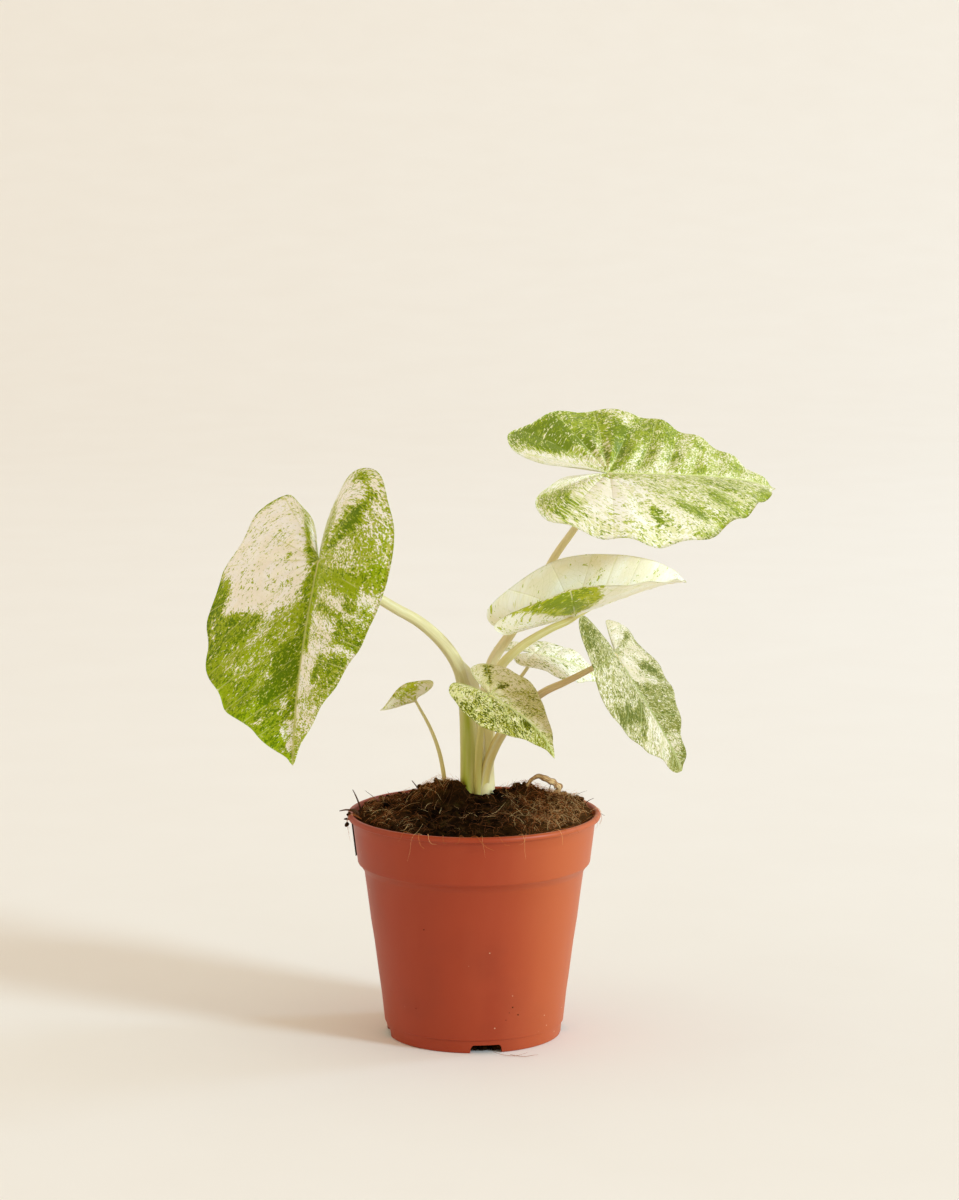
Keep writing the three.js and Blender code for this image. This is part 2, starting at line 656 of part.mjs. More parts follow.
// The body of the peat: it fills the pot up to its uneven top.
function soilBody() {
  const inside = POT.wall + GAP;
  const topRadius = POT.collarRadius - inside;
  const profile = [
    [0, POT.base + GAP],
    [POT.footRadius - inside - 0.4, POT.base + GAP],
    [POT.footRadius + 0.5 - inside, POT.footBandZ],
    [POT.waistRadius - inside, POT.waistZ],
    [POT.shoulderRadius - inside, POT.shoulderZ + 0.6],
    [POT.collarFootRadius - inside - 0.2, POT.collarFootZ + 1.6],
    [topRadius - 0.2, SOIL.edgeZ - 1.5],
  ];
  for (let i = 0; i <= SOIL.rings; i++) profile.push([topRadius * (1 - i / SOIL.rings), SOIL.edgeZ]);
  const lathe = new THREE.LatheGeometry(profile.map(([r, z]) => new THREE.Vector2(r, z)), SOIL.sides);
  lathe.rotateX(Math.PI / 2);
  const place = lathe.attributes.position;
  for (let i = 0; i < place.count; i++) {
    if (place.getZ(i) > SOIL.edgeZ - 0.1) place.setZ(i, soilHeight(place.getX(i), place.getY(i)));
  }
  return solidOf(lathe);
}

// Crumbs of peat, pressed into the surface.
function crumbSolids() {
  const random = seeded(CRUMB.seed);
  const crumbs = [];
  for (let i = 0; i < CRUMB.count; i++) {
    const size = THREE.MathUtils.lerp(CRUMB.smallest, CRUMB.largest, random() ** 2);
    const reach = (POT.collarRadius - 8) * Math.sqrt(random());
    const angle = 2 * Math.PI * random();
    const [x, y] = [reach * Math.cos(angle), reach * Math.sin(angle)];
    const crumb = new THREE.IcosahedronGeometry(size, 0);
    crumb.scale(1, 0.8, 0.75).rotateZ(6 * random()).rotateX(random());
    crumb.translate(x, y, soilHeight(x, y) - 0.1 * size);
    crumbs.push(solidOf(crumb));
  }
  return crumbs;
}

// A thin three-sided strand of coir through a few points.
function strand(points, radius) {
  return solidOf(taperedTube(points, (share) => radius * (1 - 0.3 * share), 3, points.length + 1));
}

// Coir strands that lie over the peat and arch a little off it.
function strandSolids() {
  const random = seeded(FIBRE.seed);
  const strands = [];
  for (let i = 0; i < FIBRE.count; i++) {
    const length = THREE.MathUtils.lerp(FIBRE.shortest, FIBRE.longest, random());
    const reach = 12 + (POT.collarRadius - 26) * Math.sqrt(random());
    const angle = 2 * Math.PI * random();
    const along = 2 * Math.PI * random();
    const points = [-0.5, -0.17, 0.17, 0.5].map((share, k) => {
      const bow = 1.6 * Math.cos(Math.PI * share) * (i % 2 ? 1 : -1);
      const x = reach * Math.cos(angle) + length * share * Math.cos(along) - bow * Math.sin(along);
      const y = reach * Math.sin(angle) + length * share * Math.sin(along) + bow * Math.cos(along);
      const sunk = k === 0 ? -1.2 : 0.5 + 1.4 * random() * (k === 3 ? 1 : 0.5);
      return [x, y, soilHeight(x, y) + sunk];
    });
    strands.push(strand(points, FIBRE.radius));
  }
  return strands;
}

// Strands that climb over the rim and hang outside the collar, clear of the pot.
function hangingSolids() {
  return HANGING.map(({ angle, drop, drift }) => {
    const spot = (radius, z, turn) => {
      const a = degrees(angle + turn);
      return [radius * Math.cos(a), radius * Math.sin(a), z];
    };
    const clear = GAP + FIBRE.radius + 0.25;
    const outside = POT.rimRadius + clear;
    return strand([
      spot(POT.rimRadius - 10, SOIL.edgeZ - 0.6, -0.6 * drift),
      spot(POT.rimRadius - 4, POT.height + 0.2 + clear, -0.3 * drift),
      spot(POT.rimRadius - 0.6, POT.height + clear + 0.1, 0),
      spot(outside + 0.3, POT.height - 1.8, 0.2 * drift),
      spot(outside + 0.2, POT.height - 0.5 * drop - 2, 0.6 * drift),
      spot(outside - 0.4, POT.height - drop, drift),
    ], FIBRE.radius);
  });
}

// Stiff twigs that stand up out of the peat.
function twigSolids() {
  return TWIGS.map(({ foot, tip, radius }) => {
    const middle = foot.map((value, k) => (value + tip[k]) / 2 + (k === 2 ? 0.8 : 0));
    const root = [foot[0], foot[1], foot[2] - 3];
    return strand([root, foot, middle, tip], radius);
  });
}

// The dry shred: a thin strip bent over an arch, with edges that roll down a little.
function shredSolid(extra = 0) {
  const curve = new THREE.CatmullRomCurve3(SHRED.path.map((p) => new THREE.Vector3(...p)));
  const lift = SHRED.thickness / 2 + extra;
  const top = [];
  const bottom = [];
  const triangles = [];
  for (let i = 0; i <= SHRED.steps; i++) {
    const share = i / SHRED.steps;
    const centre = curve.getPoint(share);
    const tangent = curve.getTangent(share);
    const out = new THREE.Vector3(-tangent.z, 0, tangent.x).normalize();
    const fullness = 0.65 + 0.3 * Math.sin(5 * share + 1) - 0.3 * (1 - share) ** 3;
    const half = (SHRED.width / 2) * fullness + extra;
    [-1, 0, 1].forEach((side) => {
      const roll = side === 0 ? 0 : -0.5 - 0.3 * Math.sin(9 * share + side);
      const place = centre.clone().add(new THREE.Vector3(0, side * half, 0)).addScaledVector(out, roll);
      top.push(place.clone().addScaledVector(out, lift));
      bottom.push(place.clone().addScaledVector(out, -lift));
    });
    if (i === 0) continue;
    for (const a of [3 * i - 3, 3 * i - 2]) triangles.push([a, a + 3, a + 4], [a, a + 4, a + 1]);
  }
  return solidOf(thickSheet(top, bottom, triangles));
}

// The blank label: a thin film that follows the collar.
function labelSolid() {
  const inside = [];
  const outside = [];
  const triangles = [];
  for (let i = 0; i <= LABEL.steps; i++) {
    const angle = degrees(THREE.MathUtils.lerp(LABEL.fromAngle, LABEL.toAngle, i / LABEL.steps));
    for (const z of [LABEL.bottomZ, LABEL.topZ]) {
      const share = (z - POT.collarFootZ) / (POT.height - POT.beadHeight - 0.8 - POT.collarFootZ);
      const radius = THREE.MathUtils.lerp(POT.collarFootRadius, POT.collarRadius, share) + GAP;
      const spot = (r) => new THREE.Vector3(r * Math.cos(angle), r * Math.sin(angle), z);
      inside.push(spot(radius));
      outside.push(spot(radius + LABEL.thickness));
    }
    if (i > 0) triangles.push([2 * i - 2, 2 * i, 2 * i + 1], [2 * i - 2, 2 * i + 1, 2 * i - 1]);
  }
  return solidOf(thickSheet(outside, inside, triangles));
}

// Stalks in the order in which they are trimmed: each one keeps clear of those before it.
function stalkSolids() {
  const cutters = [];
  const solids = new Map();
  for (const stalk of STALKS) {
    const leaf = LEAVES.find(({ name }) => name === stalk.name);
    const sheathed = stalk.name === "large_left";
    let solid = sheathed ? stalkSolid(stalk).add(sheathSolid()) : stalkSolid(stalk);
    for (const cutter of cutters) solid = solid.subtract(cutter);
    solid = largestBody(solid.subtract(seatCutter(leaf)).subtract(solidOf(bladeGeometry(leaf, GAP))));
    solids.set(stalk.name, solid);
    cutters.push(stalkSolid(stalk, GAP));
    if (sheathed) cutters.push(sheathSolid(GAP));
  }
  return { solids, cutters };
}

// The peat with its crumbs and strands, and plain holes where the stalks and the shred stand.
function soilSolid(holeCutters) {
  let soil = soilBody();
  for (const piece of [...crumbSolids(), ...strandSolids(), ...hangingSolids(), ...twigSolids()]) {
    soil = soil.add(piece);
  }
  for (const cutter of holeCutters) soil = soil.subtract(cutter);
  const room = DRAIN.roof + GAP;
  const [width, height] = [DRAIN.width + 2 * room, DRAIN.height + room];
  for (const angle of drainAngles()) {
    soil = soil.subtract(channelBar(width, height, DRAIN.innerRadius - room, POT.footRadius + 5, angle));
  }
  return largestBody(soil);
}

// The leaves: a blade and a stalk each.
function plantGroup(stalks) {
  const plant = new THREE.Group();
  for (const leaf of LEAVES) {
    const blade = solidOf(bladeGeometry(leaf));
    plant.add(meshOf(`blade_${leaf.name}`, blade, leaf.colour, FINISH.bladeRoughness));
  }
  for (const { name, colour } of STALKS) {
    plant.add(meshOf(`stalk_${name}`, stalks.get(name), colour, FINISH.stalkRoughness));
  }
  return plant;
}

// The pot with its label and what fills it.
function potGroup(holeCutters) {
  const { pot, label, soil, dryShred } = FINISH;
  const filled = new THREE.Group();
  filled.add(
    meshOf("pot", potSolid(), pot.colour, pot.roughness),
    meshOf("label", labelSolid(), label.colour, label.roughness),
    meshOf("soil", soilSolid([...holeCutters, shredSolid(GAP)]), soil.colour, soil.roughness),
    meshOf("dry_shred", shredSolid(), dryShred.colour, dryShred.roughness),
  );
  return filled;
}

const { solids, cutters } = stalkSolids();
const group = new THREE.Group();
group.add(plantGroup(solids), potGroup(cutters));
export default group;
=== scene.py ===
"""Looks for a potted variegated giant taro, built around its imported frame.

Metres in Blender, millimetres in the sizes below. +Z is up, the pot's axis is the Z axis and -Y is the front.
"""

import logging
import math
import random
from dataclasses import dataclass
from enum import Enum

import bpy
import numpy as np
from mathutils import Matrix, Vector, noise


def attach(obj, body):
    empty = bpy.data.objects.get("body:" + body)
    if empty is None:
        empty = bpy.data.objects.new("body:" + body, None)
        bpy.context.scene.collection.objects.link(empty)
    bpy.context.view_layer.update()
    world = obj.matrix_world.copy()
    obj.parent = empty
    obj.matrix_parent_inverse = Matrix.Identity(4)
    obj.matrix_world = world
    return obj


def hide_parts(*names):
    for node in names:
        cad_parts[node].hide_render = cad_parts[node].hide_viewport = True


MM = 0.001
# Further than any vein or margin that still shows at a point of a blade
FAR_MM = 50.0
log = logging.getLogger("taro")
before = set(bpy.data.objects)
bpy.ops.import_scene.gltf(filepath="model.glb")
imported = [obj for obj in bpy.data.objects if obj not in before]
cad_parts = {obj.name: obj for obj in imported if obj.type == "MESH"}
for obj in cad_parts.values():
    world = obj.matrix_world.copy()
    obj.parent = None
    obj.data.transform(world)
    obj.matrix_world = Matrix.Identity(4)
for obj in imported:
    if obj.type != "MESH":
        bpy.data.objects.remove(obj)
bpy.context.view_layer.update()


# Helpers


def linear(hex_colour: str) -> tuple[float, float, float, float]:
    """Turns an sRGB hex colour such as "#E4DABB" into linear red, green, blue and alpha.

    Args:
        hex_colour: the colour, as a paint chart or a picture gives it.

    Returns:
        The four numbers that a shader takes.
    """
    shares = [int(hex_colour[i : i + 2], 16) / 255 for i in (1, 3, 5)]
    bright = [c / 12.92 if c <= 0.04045 else ((c + 0.055) / 1.055) ** 2.4 for c in shares]
    return (bright[0], bright[1], bright[2], 1.0)


def smooth_step(low: float, high: float, value: np.ndarray) -> np.ndarray:
    """Rises smoothly from 0 where value is low to 1 where it is high."""
    share = np.clip((value - low) / (high - low), 0, 1)
    return share * share * (3 - 2 * share)


def smooth_path(points: list, per_span: int) -> np.ndarray:
    """Runs a centripetal spline through points.

    Args:
        points: the points, with two or three numbers each.
        per_span: how many steps the curve takes from one point to the next.

    Returns:
        The points of the curve, one per row.
    """
    p = np.array(points, float)
    p = np.vstack([2 * p[0] - p[1], p, 2 * p[-1] - p[-2]])
    knots = np.r_[0, np.cumsum(np.sqrt(np.linalg.norm(np.diff(p, axis=0), axis=1)))]
    rows = []
    for i in range(1, len(p) - 2):
        t0, t1, t2, t3 = knots[i - 1 : i + 3]
        t = np.linspace(t1, t2, per_span, endpoint=False)[:, None]
        a1 = (t1 - t) / (t1 - t0) * p[i - 1] + (t - t0) / (t1 - t0) * p[i]
        a2 = (t2 - t) / (t2 - t1) * p[i] + (t - t1) / (t2 - t1) * p[i + 1]
        a3 = (t3 - t) / (t3 - t2) * p[i + 1] + (t - t2) / (t3 - t2) * p[i + 2]
        b1 = (t2 - t) / (t2 - t0) * a1 + (t - t0) / (t2 - t0) * a2
        b2 = (t3 - t) / (t3 - t1) * a2 + (t - t1) / (t3 - t1) * a3
        rows.append((t2 - t) / (t2 - t1) * b1 + (t - t1) / (t2 - t1) * b2)
    return np.vstack(rows + [p[-2:-1]])


def turned(ahead: float, aside: float, angle: float) -> tuple[float, float]:
    """Turns a place about the middle.

    Args:
        ahead: how far it lies from the middle in the direction of the angle.
        aside: how far it lies to the left of that.
        angle: the direction in radians, from +X towards +Y.

    Returns:
        Its x and y.
    """
    cos, sin = math.cos(angle), math.sin(angle)
    return ahead * cos - aside * sin, ahead * sin + aside * cos


def apart(angles: np.ndarray, degrees: float) -> np.ndarray:
    """How far angles in radians lie from one in degrees, either way round, in radians."""
    return np.abs((angles - math.radians(degrees) + np.pi) % (2 * np.pi) - np.pi)


def reach_along(curve: np.ndarray) -> np.ndarray:
    """The distance along a curve to each of its points."""
    return np.r_[0, np.cumsum(np.linalg.norm(np.diff(curve, axis=0), axis=1))]


def distance(points: np.ndarray, a: np.ndarray, b: np.ndarray) -> np.ndarray:
    """How far points lie from a straight edge.

    Args:
        points: the points, one per row.
        a: one end of the edge.
        b: its other end.

    Returns:
        One distance per point.
    """
    edge = b - a
    share = np.clip((points - a) @ edge / max(edge @ edge, 1e-9), 0, 1)
    return np.linalg.norm(points - a - share[:, None] * edge, axis=1)


def evenly_spaced(curve: np.ndarray, count: int) -> np.ndarray:
    """Samples a curve again at count points that are the same distance apart along it.

    Args:
        curve: its points, one per row.
        count: how many points are wanted.

    Returns:
        The new points.
    """
    reach = reach_along(curve)
    wanted = np.linspace(0, reach[-1], count)
    return np.stack([np.interp(wanted, reach, curve[:, k]) for k in range(curve.shape[1])], 1)


class Shape:
    """Points in millimetres, faces, and values at the points, gathered for one piece."""

    def __init__(self) -> None:
        """Starts empty."""
        self.points: list[np.ndarray] = []
        self.faces: list[tuple] = []
        self.values: dict[str, list[np.ndarray]] = {}
        self.count = 0

    def add(self, points: np.ndarray, faces: list, **values: np.ndarray) -> None:
        """Adds a patch of surface.

        Args:
            points: its points, one per row.
            faces: its faces, as tuples of row numbers.
            values: a number or a triple for each point, under the name that the finish reads.
        """
        start = self.count
        self.points.append(np.asarray(points, float))
        self.faces.extend(tuple(int(i) + start for i in face) for face in faces)
        for name, value in values.items():
            self.values.setdefault(name, []).append(np.asarray(value, np.float32))
        self.count += len(points)

    def weld(self, within: float = 1e-4) -> None:
        """Joins points that lie together and drops the faces that this closes up.

        Args:
            within: how close they lie, in millimetres.
        """
        points = np.vstack(self.points)
        _, first, twin = np.unique(
            np.round(points / within).astype(np.int64), axis=0, return_index=True, return_inverse=True
        )
        twin = twin.reshape(-1)
        self.points = [points[first]]
        self.values = {name: [np.concatenate(rows)[first]] for name, rows in self.values.items()}
        self.count = len(first)
        faces = []
        for face in self.faces:
            kept = list(dict.fromkeys(int(twin[i]) for i in face))
            if len(kept) > 2:
                faces.append(tuple(kept))
        self.faces = faces

    def piece(self, name: str, finish: bpy.types.Material, slot: str, *nodes: str) -> bpy.types.Object:
        """Makes the Blender object, which rides on the part's only body.

        Args:
            name: the piece's name.
            finish: its material.
            slot: the record's material slot; not used.
            nodes: the CAD nodes that it stands for.

        Returns:
            The new object.
        """
        mesh = bpy.data.meshes.new(name)
        mesh.from_pydata((np.vstack(self.points) * MM).tolist(), [], self.faces)
        mesh.polygons.foreach_set("use_smooth", [True] * len(mesh.polygons))
        for key, rows in self.values.items():
            data = np.concatenate(rows)
            kind, label = ("FLOAT_VECTOR", "vector") if data.ndim == 2 else ("FLOAT", "value")
            mesh.attributes.new(key, kind, "POINT").data.foreach_set(label, data.ravel())
        mesh.update()
        obj = bpy.data.objects.new(name, mesh)
        bpy.context.scene.collection.objects.link(obj)
        obj.data.materials.append(finish)
        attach(obj, "root")
        if nodes:
            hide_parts(*nodes)
        log.info("%s: %d faces", name, len(mesh.polygons))
        return obj


def grid_faces(lines: int, rows: int) -> list[tuple[int, ...]]:
    """The faces of an open grid whose points are given line by line.

    Args:
        lines: how many lines there are.
        rows: how many points each has.

    Returns:
        The faces, as tuples of row numbers.
    """
    return [(i * rows + k, (i + 1) * rows + k, (i + 1) * rows + k + 1, i * rows + k + 1)
            for i in range(lines - 1) for k in range(rows - 1)]


def ring_faces(rings: int, sides: int) -> list[tuple[int, ...]]:
    """The faces between closed rings of points that are given ring by ring.

    Args:
        rings: how many rings there are.
        sides: how many points each has.

    Returns:
        The faces, as tuples of row numbers.
    """
    following = [(k + 1) % sides for k in range(sides)]
    return [(i * sides + k, i * sides + after, (i + 1) * sides + after, (i + 1) * sides + k)
            for i in range(rings - 1) for k, after in enumerate(following)]


def sheet(upper: np.ndarray, lower: np.ndarray, **values: np.ndarray) -> Shape:
    """Closes two skins of points into a thin sheet.

    Args:
        upper: one skin, as lines by rows by three.
        lower: the other skin.
        values: what both skins carry at their points.

    Returns:
        The sheet's shape.
    """
    lines, rows = upper.shape[:2]
    count = lines * rows
    quads = grid_faces(lines, rows)
    shape = Shape()
    shape.add(upper.reshape(-1, 3), quads, **values)
    shape.add(lower.reshape(-1, 3), [quad[::-1] for quad in quads], **values)
    rim = [i * rows for i in range(lines)] + [count - rows + k for k in range(1, rows)]
    rim += [i * rows + rows - 1 for i in range(lines - 2, -1, -1)] + list(range(rows - 2, 0, -1))
    shape.faces.extend((b, a, a + count, b + count) for a, b in zip(rim, rim[1:] + rim[:1]))
    return shape


def tube(centre: np.ndarray, radii: np.ndarray, sides: int) -> tuple[np.ndarray, list]:
    """Sweeps a ring along a curve with closed ends.

    Args:
        centre: the points of the curve.
        radii: one radius per point, or one row of radii per point with a number for each side.
        sides: the number of points round the ring.

    Returns:
        The points and the faces.
    """
    tangents = np.gradient(centre, axis=0)
    tangents /= np.linalg.norm(tangents, axis=1)[:, None]
    start = np.array([0.0, 1.0, 0.0]) if abs(tangents[0, 1]) < 0.9 else np.array([1.0, 0.0, 0.0])
    across = start - tangents[0] * (start @ tangents[0])
    radii = np.broadcast_to(np.asarray(radii, float).reshape(len(centre), -1), (len(centre), sides))
    angles = np.linspace(0, 2 * np.pi, sides, endpoint=False)
    rows = []
    for i, tangent in enumerate(tangents):
        across = across - tangent * (across @ tangent)
        across /= np.linalg.norm(across)
        other = np.cross(tangent, across)
        ring = np.outer(np.cos(angles), across) + np.outer(np.sin(angles), other)
        rows.append(centre[i] + ring * radii[i][:, None])
    faces = ring_faces(len(centre), sides)
    last = (len(centre) - 1) * sides
    faces.append(tuple(range(sides))[::-1])
    faces.append(tuple(last + j for j in range(sides)))
    return np.vstack(rows), faces


class Nodes:
    """A node tree that is being wired up."""

    def __init__(self, tree: bpy.types.NodeTree) -> None:
        """Keeps the tree."""
        self.tree = tree

    def feed(self, socket: bpy.types.NodeSocket, value: object) -> None:
        """Links value to socket if it is a socket or a node, and else sets it there.

        Args:
            socket: the input socket.
            value: an output socket, a node for its first output in use, or a plain value.
        """
        if isinstance(value, bpy.types.Node):
            value = next(output for output in value.outputs if output.enabled)
        if isinstance(value, bpy.types.NodeSocket):
            self.tree.links.new(value, socket)
        else:
            socket.default_value = value

    def add(self, kind: str, inputs: dict | None = None, **settings: object) -> bpy.types.Node:
        """Adds a node with its settings and links.

        Args:
            kind: the node's type after "ShaderNode".
            inputs: a value, a node or an output socket for each input, by name or by number.
            settings: the node's own properties.

        Returns:
            The node.
        """
        node = self.tree.nodes.new("ShaderNode" + kind)
        for key, value in settings.items():
            setattr(node, key, value)
        for key, value in (inputs or {}).items():
            self.feed(node.inputs[key], value)
        return node


class Graph(Nodes):
    """The node tree of one material, ending in one Principled shader."""

    def __init__(self, name: str) -> None:
        """Makes the material and its two fixed nodes.

        Args:
            name: the material's name.
        """
        self.material = bpy.data.materials.new(name)
        self.material.use_nodes = True
        super().__init__(self.material.node_tree)
        self.tree.nodes.clear()
        self.shader = self.add("BsdfPrincipled")
        self.add("OutputMaterial", {0: self.shader.outputs[0]})

    def finish(self, **inputs: object) -> bpy.types.Material:
        """Sets the shader's inputs, with underscores for spaces in their names, and gives the material.

        Args:
            inputs: a value, a node or an output socket for each of them.

        Returns:
            The material.
        """
        for key, value in inputs.items():
            self.feed(self.shader.inputs[key.replace("_", " ")], value)
        return self.material


# Finishes


class Finish:
    """What a finish can do: build its own material, once."""

    name: str

    def material(self) -> bpy.types.Material:
        """Gives the material, and builds it the first time."""
        made = bpy.data.materials.get(self.name)
        return made or self.build()

    def build(self) -> bpy.types.Material:
        """Builds the material; each finish has its own way."""
        raise NotImplementedError


@dataclass(frozen=True)
class VariegatedTissue(Finish):
    """Leaf tissue of a variegated aroid: waxy skin over two cell layers, each green or without green.

    The eye sees cream where both layers lack green, yellow-green where one has it, and full green
    where both have it, broken into flecks that run along the side veins.
    """

    name: str = "variegated_aroid_leaf"
    # The default creams, worn by the large left blade, are near white, whiter than the tissue is, as painted
    # light for the fill that falls on that blade
    cream: str = "#FCFAF5"
    warm_cream: str = "#F8F3E6"
    pale_green: str = "#C0C658"
    light_green: str = "#A6B62A"
    green: str = "#98AE0C"
    deep_green: str = "#5C7A04"
    vein: str = "#CDD182"
    underside: str = "#CDD08E"
    coarse_mm: float = 8.0
    middle_mm: float = 2.3
    fine_mm: float = 0.8
    network_mm: float = 1.6
    outer_turn: float = 0.38
    under_share: float = 0.3
    shine: float = 0.06
    glow: float = 0.25
    smooth: float = 0.3

    def build(self) -> bpy.types.Material:
        """Builds the material from the values that each blade carries at its points.

        Returns:
            The material.
        """
        g = Graph(self.name)
        grain = g.add("Attribute", attribute_name="grain").outputs["Vector"]
        nerves = g.add("SeparateXYZ", {0: g.add("Attribute", attribute_name="nerves").outputs["Vector"]})
        tone = g.add("SeparateXYZ", {0: g.add("Attribute", attribute_name="tone").outputs["Vector"]})
        lacking, depth, under = tone.outputs
        waves = []
        sizes = (self.coarse_mm, 2.0, 0.6), (self.middle_mm, 3.0, 0.5), (self.fine_mm, 3.0, 0.6)
        for size, detail, bend in sizes:
            mottle = {"Vector": grain, "Scale": 1 / size, "Detail": detail, "Distortion": bend}
            mottle = g.add("TexNoise", mottle).outputs["Color"]
            waves.append(g.add("SeparateColor", {0: mottle}).outputs)
        cells = {"Vector": grain, "Scale": 1 / self.network_mm}
        network = g.add("TexVoronoi", cells, feature="DISTANCE_TO_EDGE")

        def sway(base: object, channel: int, weights: tuple[float, float, float]) -> bpy.types.Node:
            """Adds the three sizes of mottle to a value.

            Args:
                base: the value.
                channel: which of each mottle's three independent fields to take.
                weights: how much each size counts.

            Returns:
                The node with the sum.
            """
            total = base
            for wave, weight in zip(waves, weights):
                inputs = {0: wave[channel], 1: weight, 2: -weight / 2}
                scaled = g.add("Math", inputs, operation="MULTIPLY_ADD")
                total = g.add("Math", {0: total, 1: scaled}, operation="ADD")
            return total

        shares = {
            "inner": (sway(lacking, 0, (0.7, 1.5, 2.8)), 0.5, 0.05, 1.0),
            "outer": (sway(lacking, 1, (0.7, 1.6, 2.8)), self.outer_turn, 0.1, 1.0),
            "deep": (sway(depth, 2, (-1.0, -1.8, -2.8)), 0.5, 0.2, 1.0),
            "warmth": (waves[0][2], 0.5, 0.12, 1.0),
            "shown": (waves[0][1], 0.5, 0.1, 0.6),
            "side_vein": (nerves.outputs[0], 0.3, 0.22, 1.0),
            "midrib": (nerves.outputs[1], 0.6, 0.3, 0.75),
            "rim": (nerves.outputs[2], 0.4, 0.3, 0.14),
            "network": (network, 0.06, 0.06, 1.0),
        }
        share = {}
        for name, (value, middle, edge, most) in shares.items():
            ends = {"From Min": middle - edge, "From Max": middle + edge, "To Min": most, "To Max": 0.0}
            share[name] = g.add("MapRange", {"Value": value, **ends}, interpolation_type="SMOOTHSTEP")
        products = {"faint_vein": (share["side_vein"], share["shown"]), "below": (under, self.under_share),
                    "faint_network": (share["network"], 0.08)}
        for name, (first, second) in products.items():
            share[name] = g.add("Math", {0: first, 1: second}, operation="MULTIPLY")

        hues = ("cream", "warm_cream", "pale_green", "light_green", "green", "deep_green", "vein",
                "underside")
        colour = {hue: linear(getattr(self, hue)) for hue in hues}
        layers = (
            ("cream", "warmth", "cream", "warm_cream"), ("full", "deep", "deep_green", "green"),
            ("over_cream", "outer", "cream", "pale_green"), ("over_green", "outer", "light_green", "full"),
            ("flesh", "inner", "over_cream", "over_green"), ("flesh", "faint_vein", "flesh", "vein"),
            ("flesh", "midrib", "flesh", "vein"), ("flesh", "rim", "flesh", "green"),
            ("flesh", "below", "flesh", "underside"), ("flesh", "faint_network", "flesh", "green"),
        )
        for name, by, low, high in layers:
            colour[name] = g.add("Mix", {0: share[by], 6: colour[low], 7: colour[high]}, data_type="RGBA")

        relief = g.add("Math", {0: share["network"], 1: -0.25}, operation="MULTIPLY")
        relief = g.add("Math", {0: waves[2][0], 1: 0.5, 2: relief}, operation="MULTIPLY_ADD")
        relief = g.add("Math", {0: share["side_vein"], 1: -0.9, 2: relief}, operation="MULTIPLY_ADD")
        bump = g.add("Bump", {"Height": relief, "Strength": 0.5, "Distance": 0.25 * MM})
        rough = g.add("MapRange", {"Value": waves[1][0], "To Min": self.smooth, "To Max": self.smooth + 0.18})
        return g.finish(
            Base_Color=colour["flesh"], Roughness=rough, Normal=bump, IOR=1.4,
            Specular_IOR_Level=self.shine, Subsurface_Weight=self.glow, Subsurface_Scale=0.8 * MM,
            Subsurface_Radius=(1.0, 1.0, 0.5),
        )


@dataclass(frozen=True)
class FleshyStalk(Finish):
    """Petiole skin of an aroid: smooth, fleshy and faintly ribbed, so that light runs along it in streaks."""

    name: str
    upper: str
    lower: str
    streak: str
    margin: str = "#E4DEB4"
    green: str = "#AEB62E"
    rib_mm: float = 0.7
    turn_mm: float = 60.0

    def build(self) -> bpy.types.Material:
        """Builds the material from the values along and round the stalk.

        Returns:
            The material.
        """
        g = Graph(self.name)
        spot = g.add("SeparateXYZ", {0: g.add("Attribute", attribute_name="wrap").outputs["Vector"]})
        pale = g.add("Attribute", attribute_name="edge").outputs["Fac"]
        flush = g.add("Attribute", attribute_name="flush").outputs["Fac"]
        along = g.add("Math", {0: spot.outputs[2], 1: 0.06}, operation="MULTIPLY")
        lengthwise = g.add("CombineXYZ", {0: spot.outputs[0], 1: spot.outputs[1], 2: along})
        ribs = g.add("TexNoise", {"Vector": lengthwise, "Scale": 1 / self.rib_mm, "Detail": 3.0})
        clouds = g.add("TexNoise", {"Vector": lengthwise, "Scale": 0.3, "Detail": 2.0})
        height = g.add("MapRange", {"Value": spot.outputs[2], "From Min": 12.0, "From Max": self.turn_mm})
        streaked = g.add("MapRange", {"Value": ribs, "From Min": 0.48, "From Max": 0.7, "To Max": 0.5})
        patchy = g.add("MapRange", {"Value": clouds, "From Min": 0.4, "From Max": 0.7, "To Max": 0.35})
        greener = g.add("Math", {0: clouds, 1: flush}, operation="MULTIPLY")
        greener = g.add("Math", {0: greener, 1: 1.7}, operation="MULTIPLY", use_clamp=True)
        colour = linear(self.lower)
        for amount, hue in ((height, self.upper), (streaked, self.streak), (patchy, self.upper),
                            (pale, self.margin), (greener, self.green)):
            colour = g.add("Mix", {0: amount, 6: colour, 7: linear(hue)}, data_type="RGBA")
        bump = g.add("Bump", {"Height": ribs, "Strength": 0.35, "Distance": 0.2 * MM})
        rough = g.add("MapRange", {"Value": clouds, "To Min": 0.3, "To Max": 0.5})
        return g.finish(
            Base_Color=colour, Roughness=rough, Normal=bump, IOR=1.42,
            Subsurface_Weight=0.25, Subsurface_Scale=1.5 * MM, Subsurface_Radius=(1.0, 0.9, 0.5),
        )


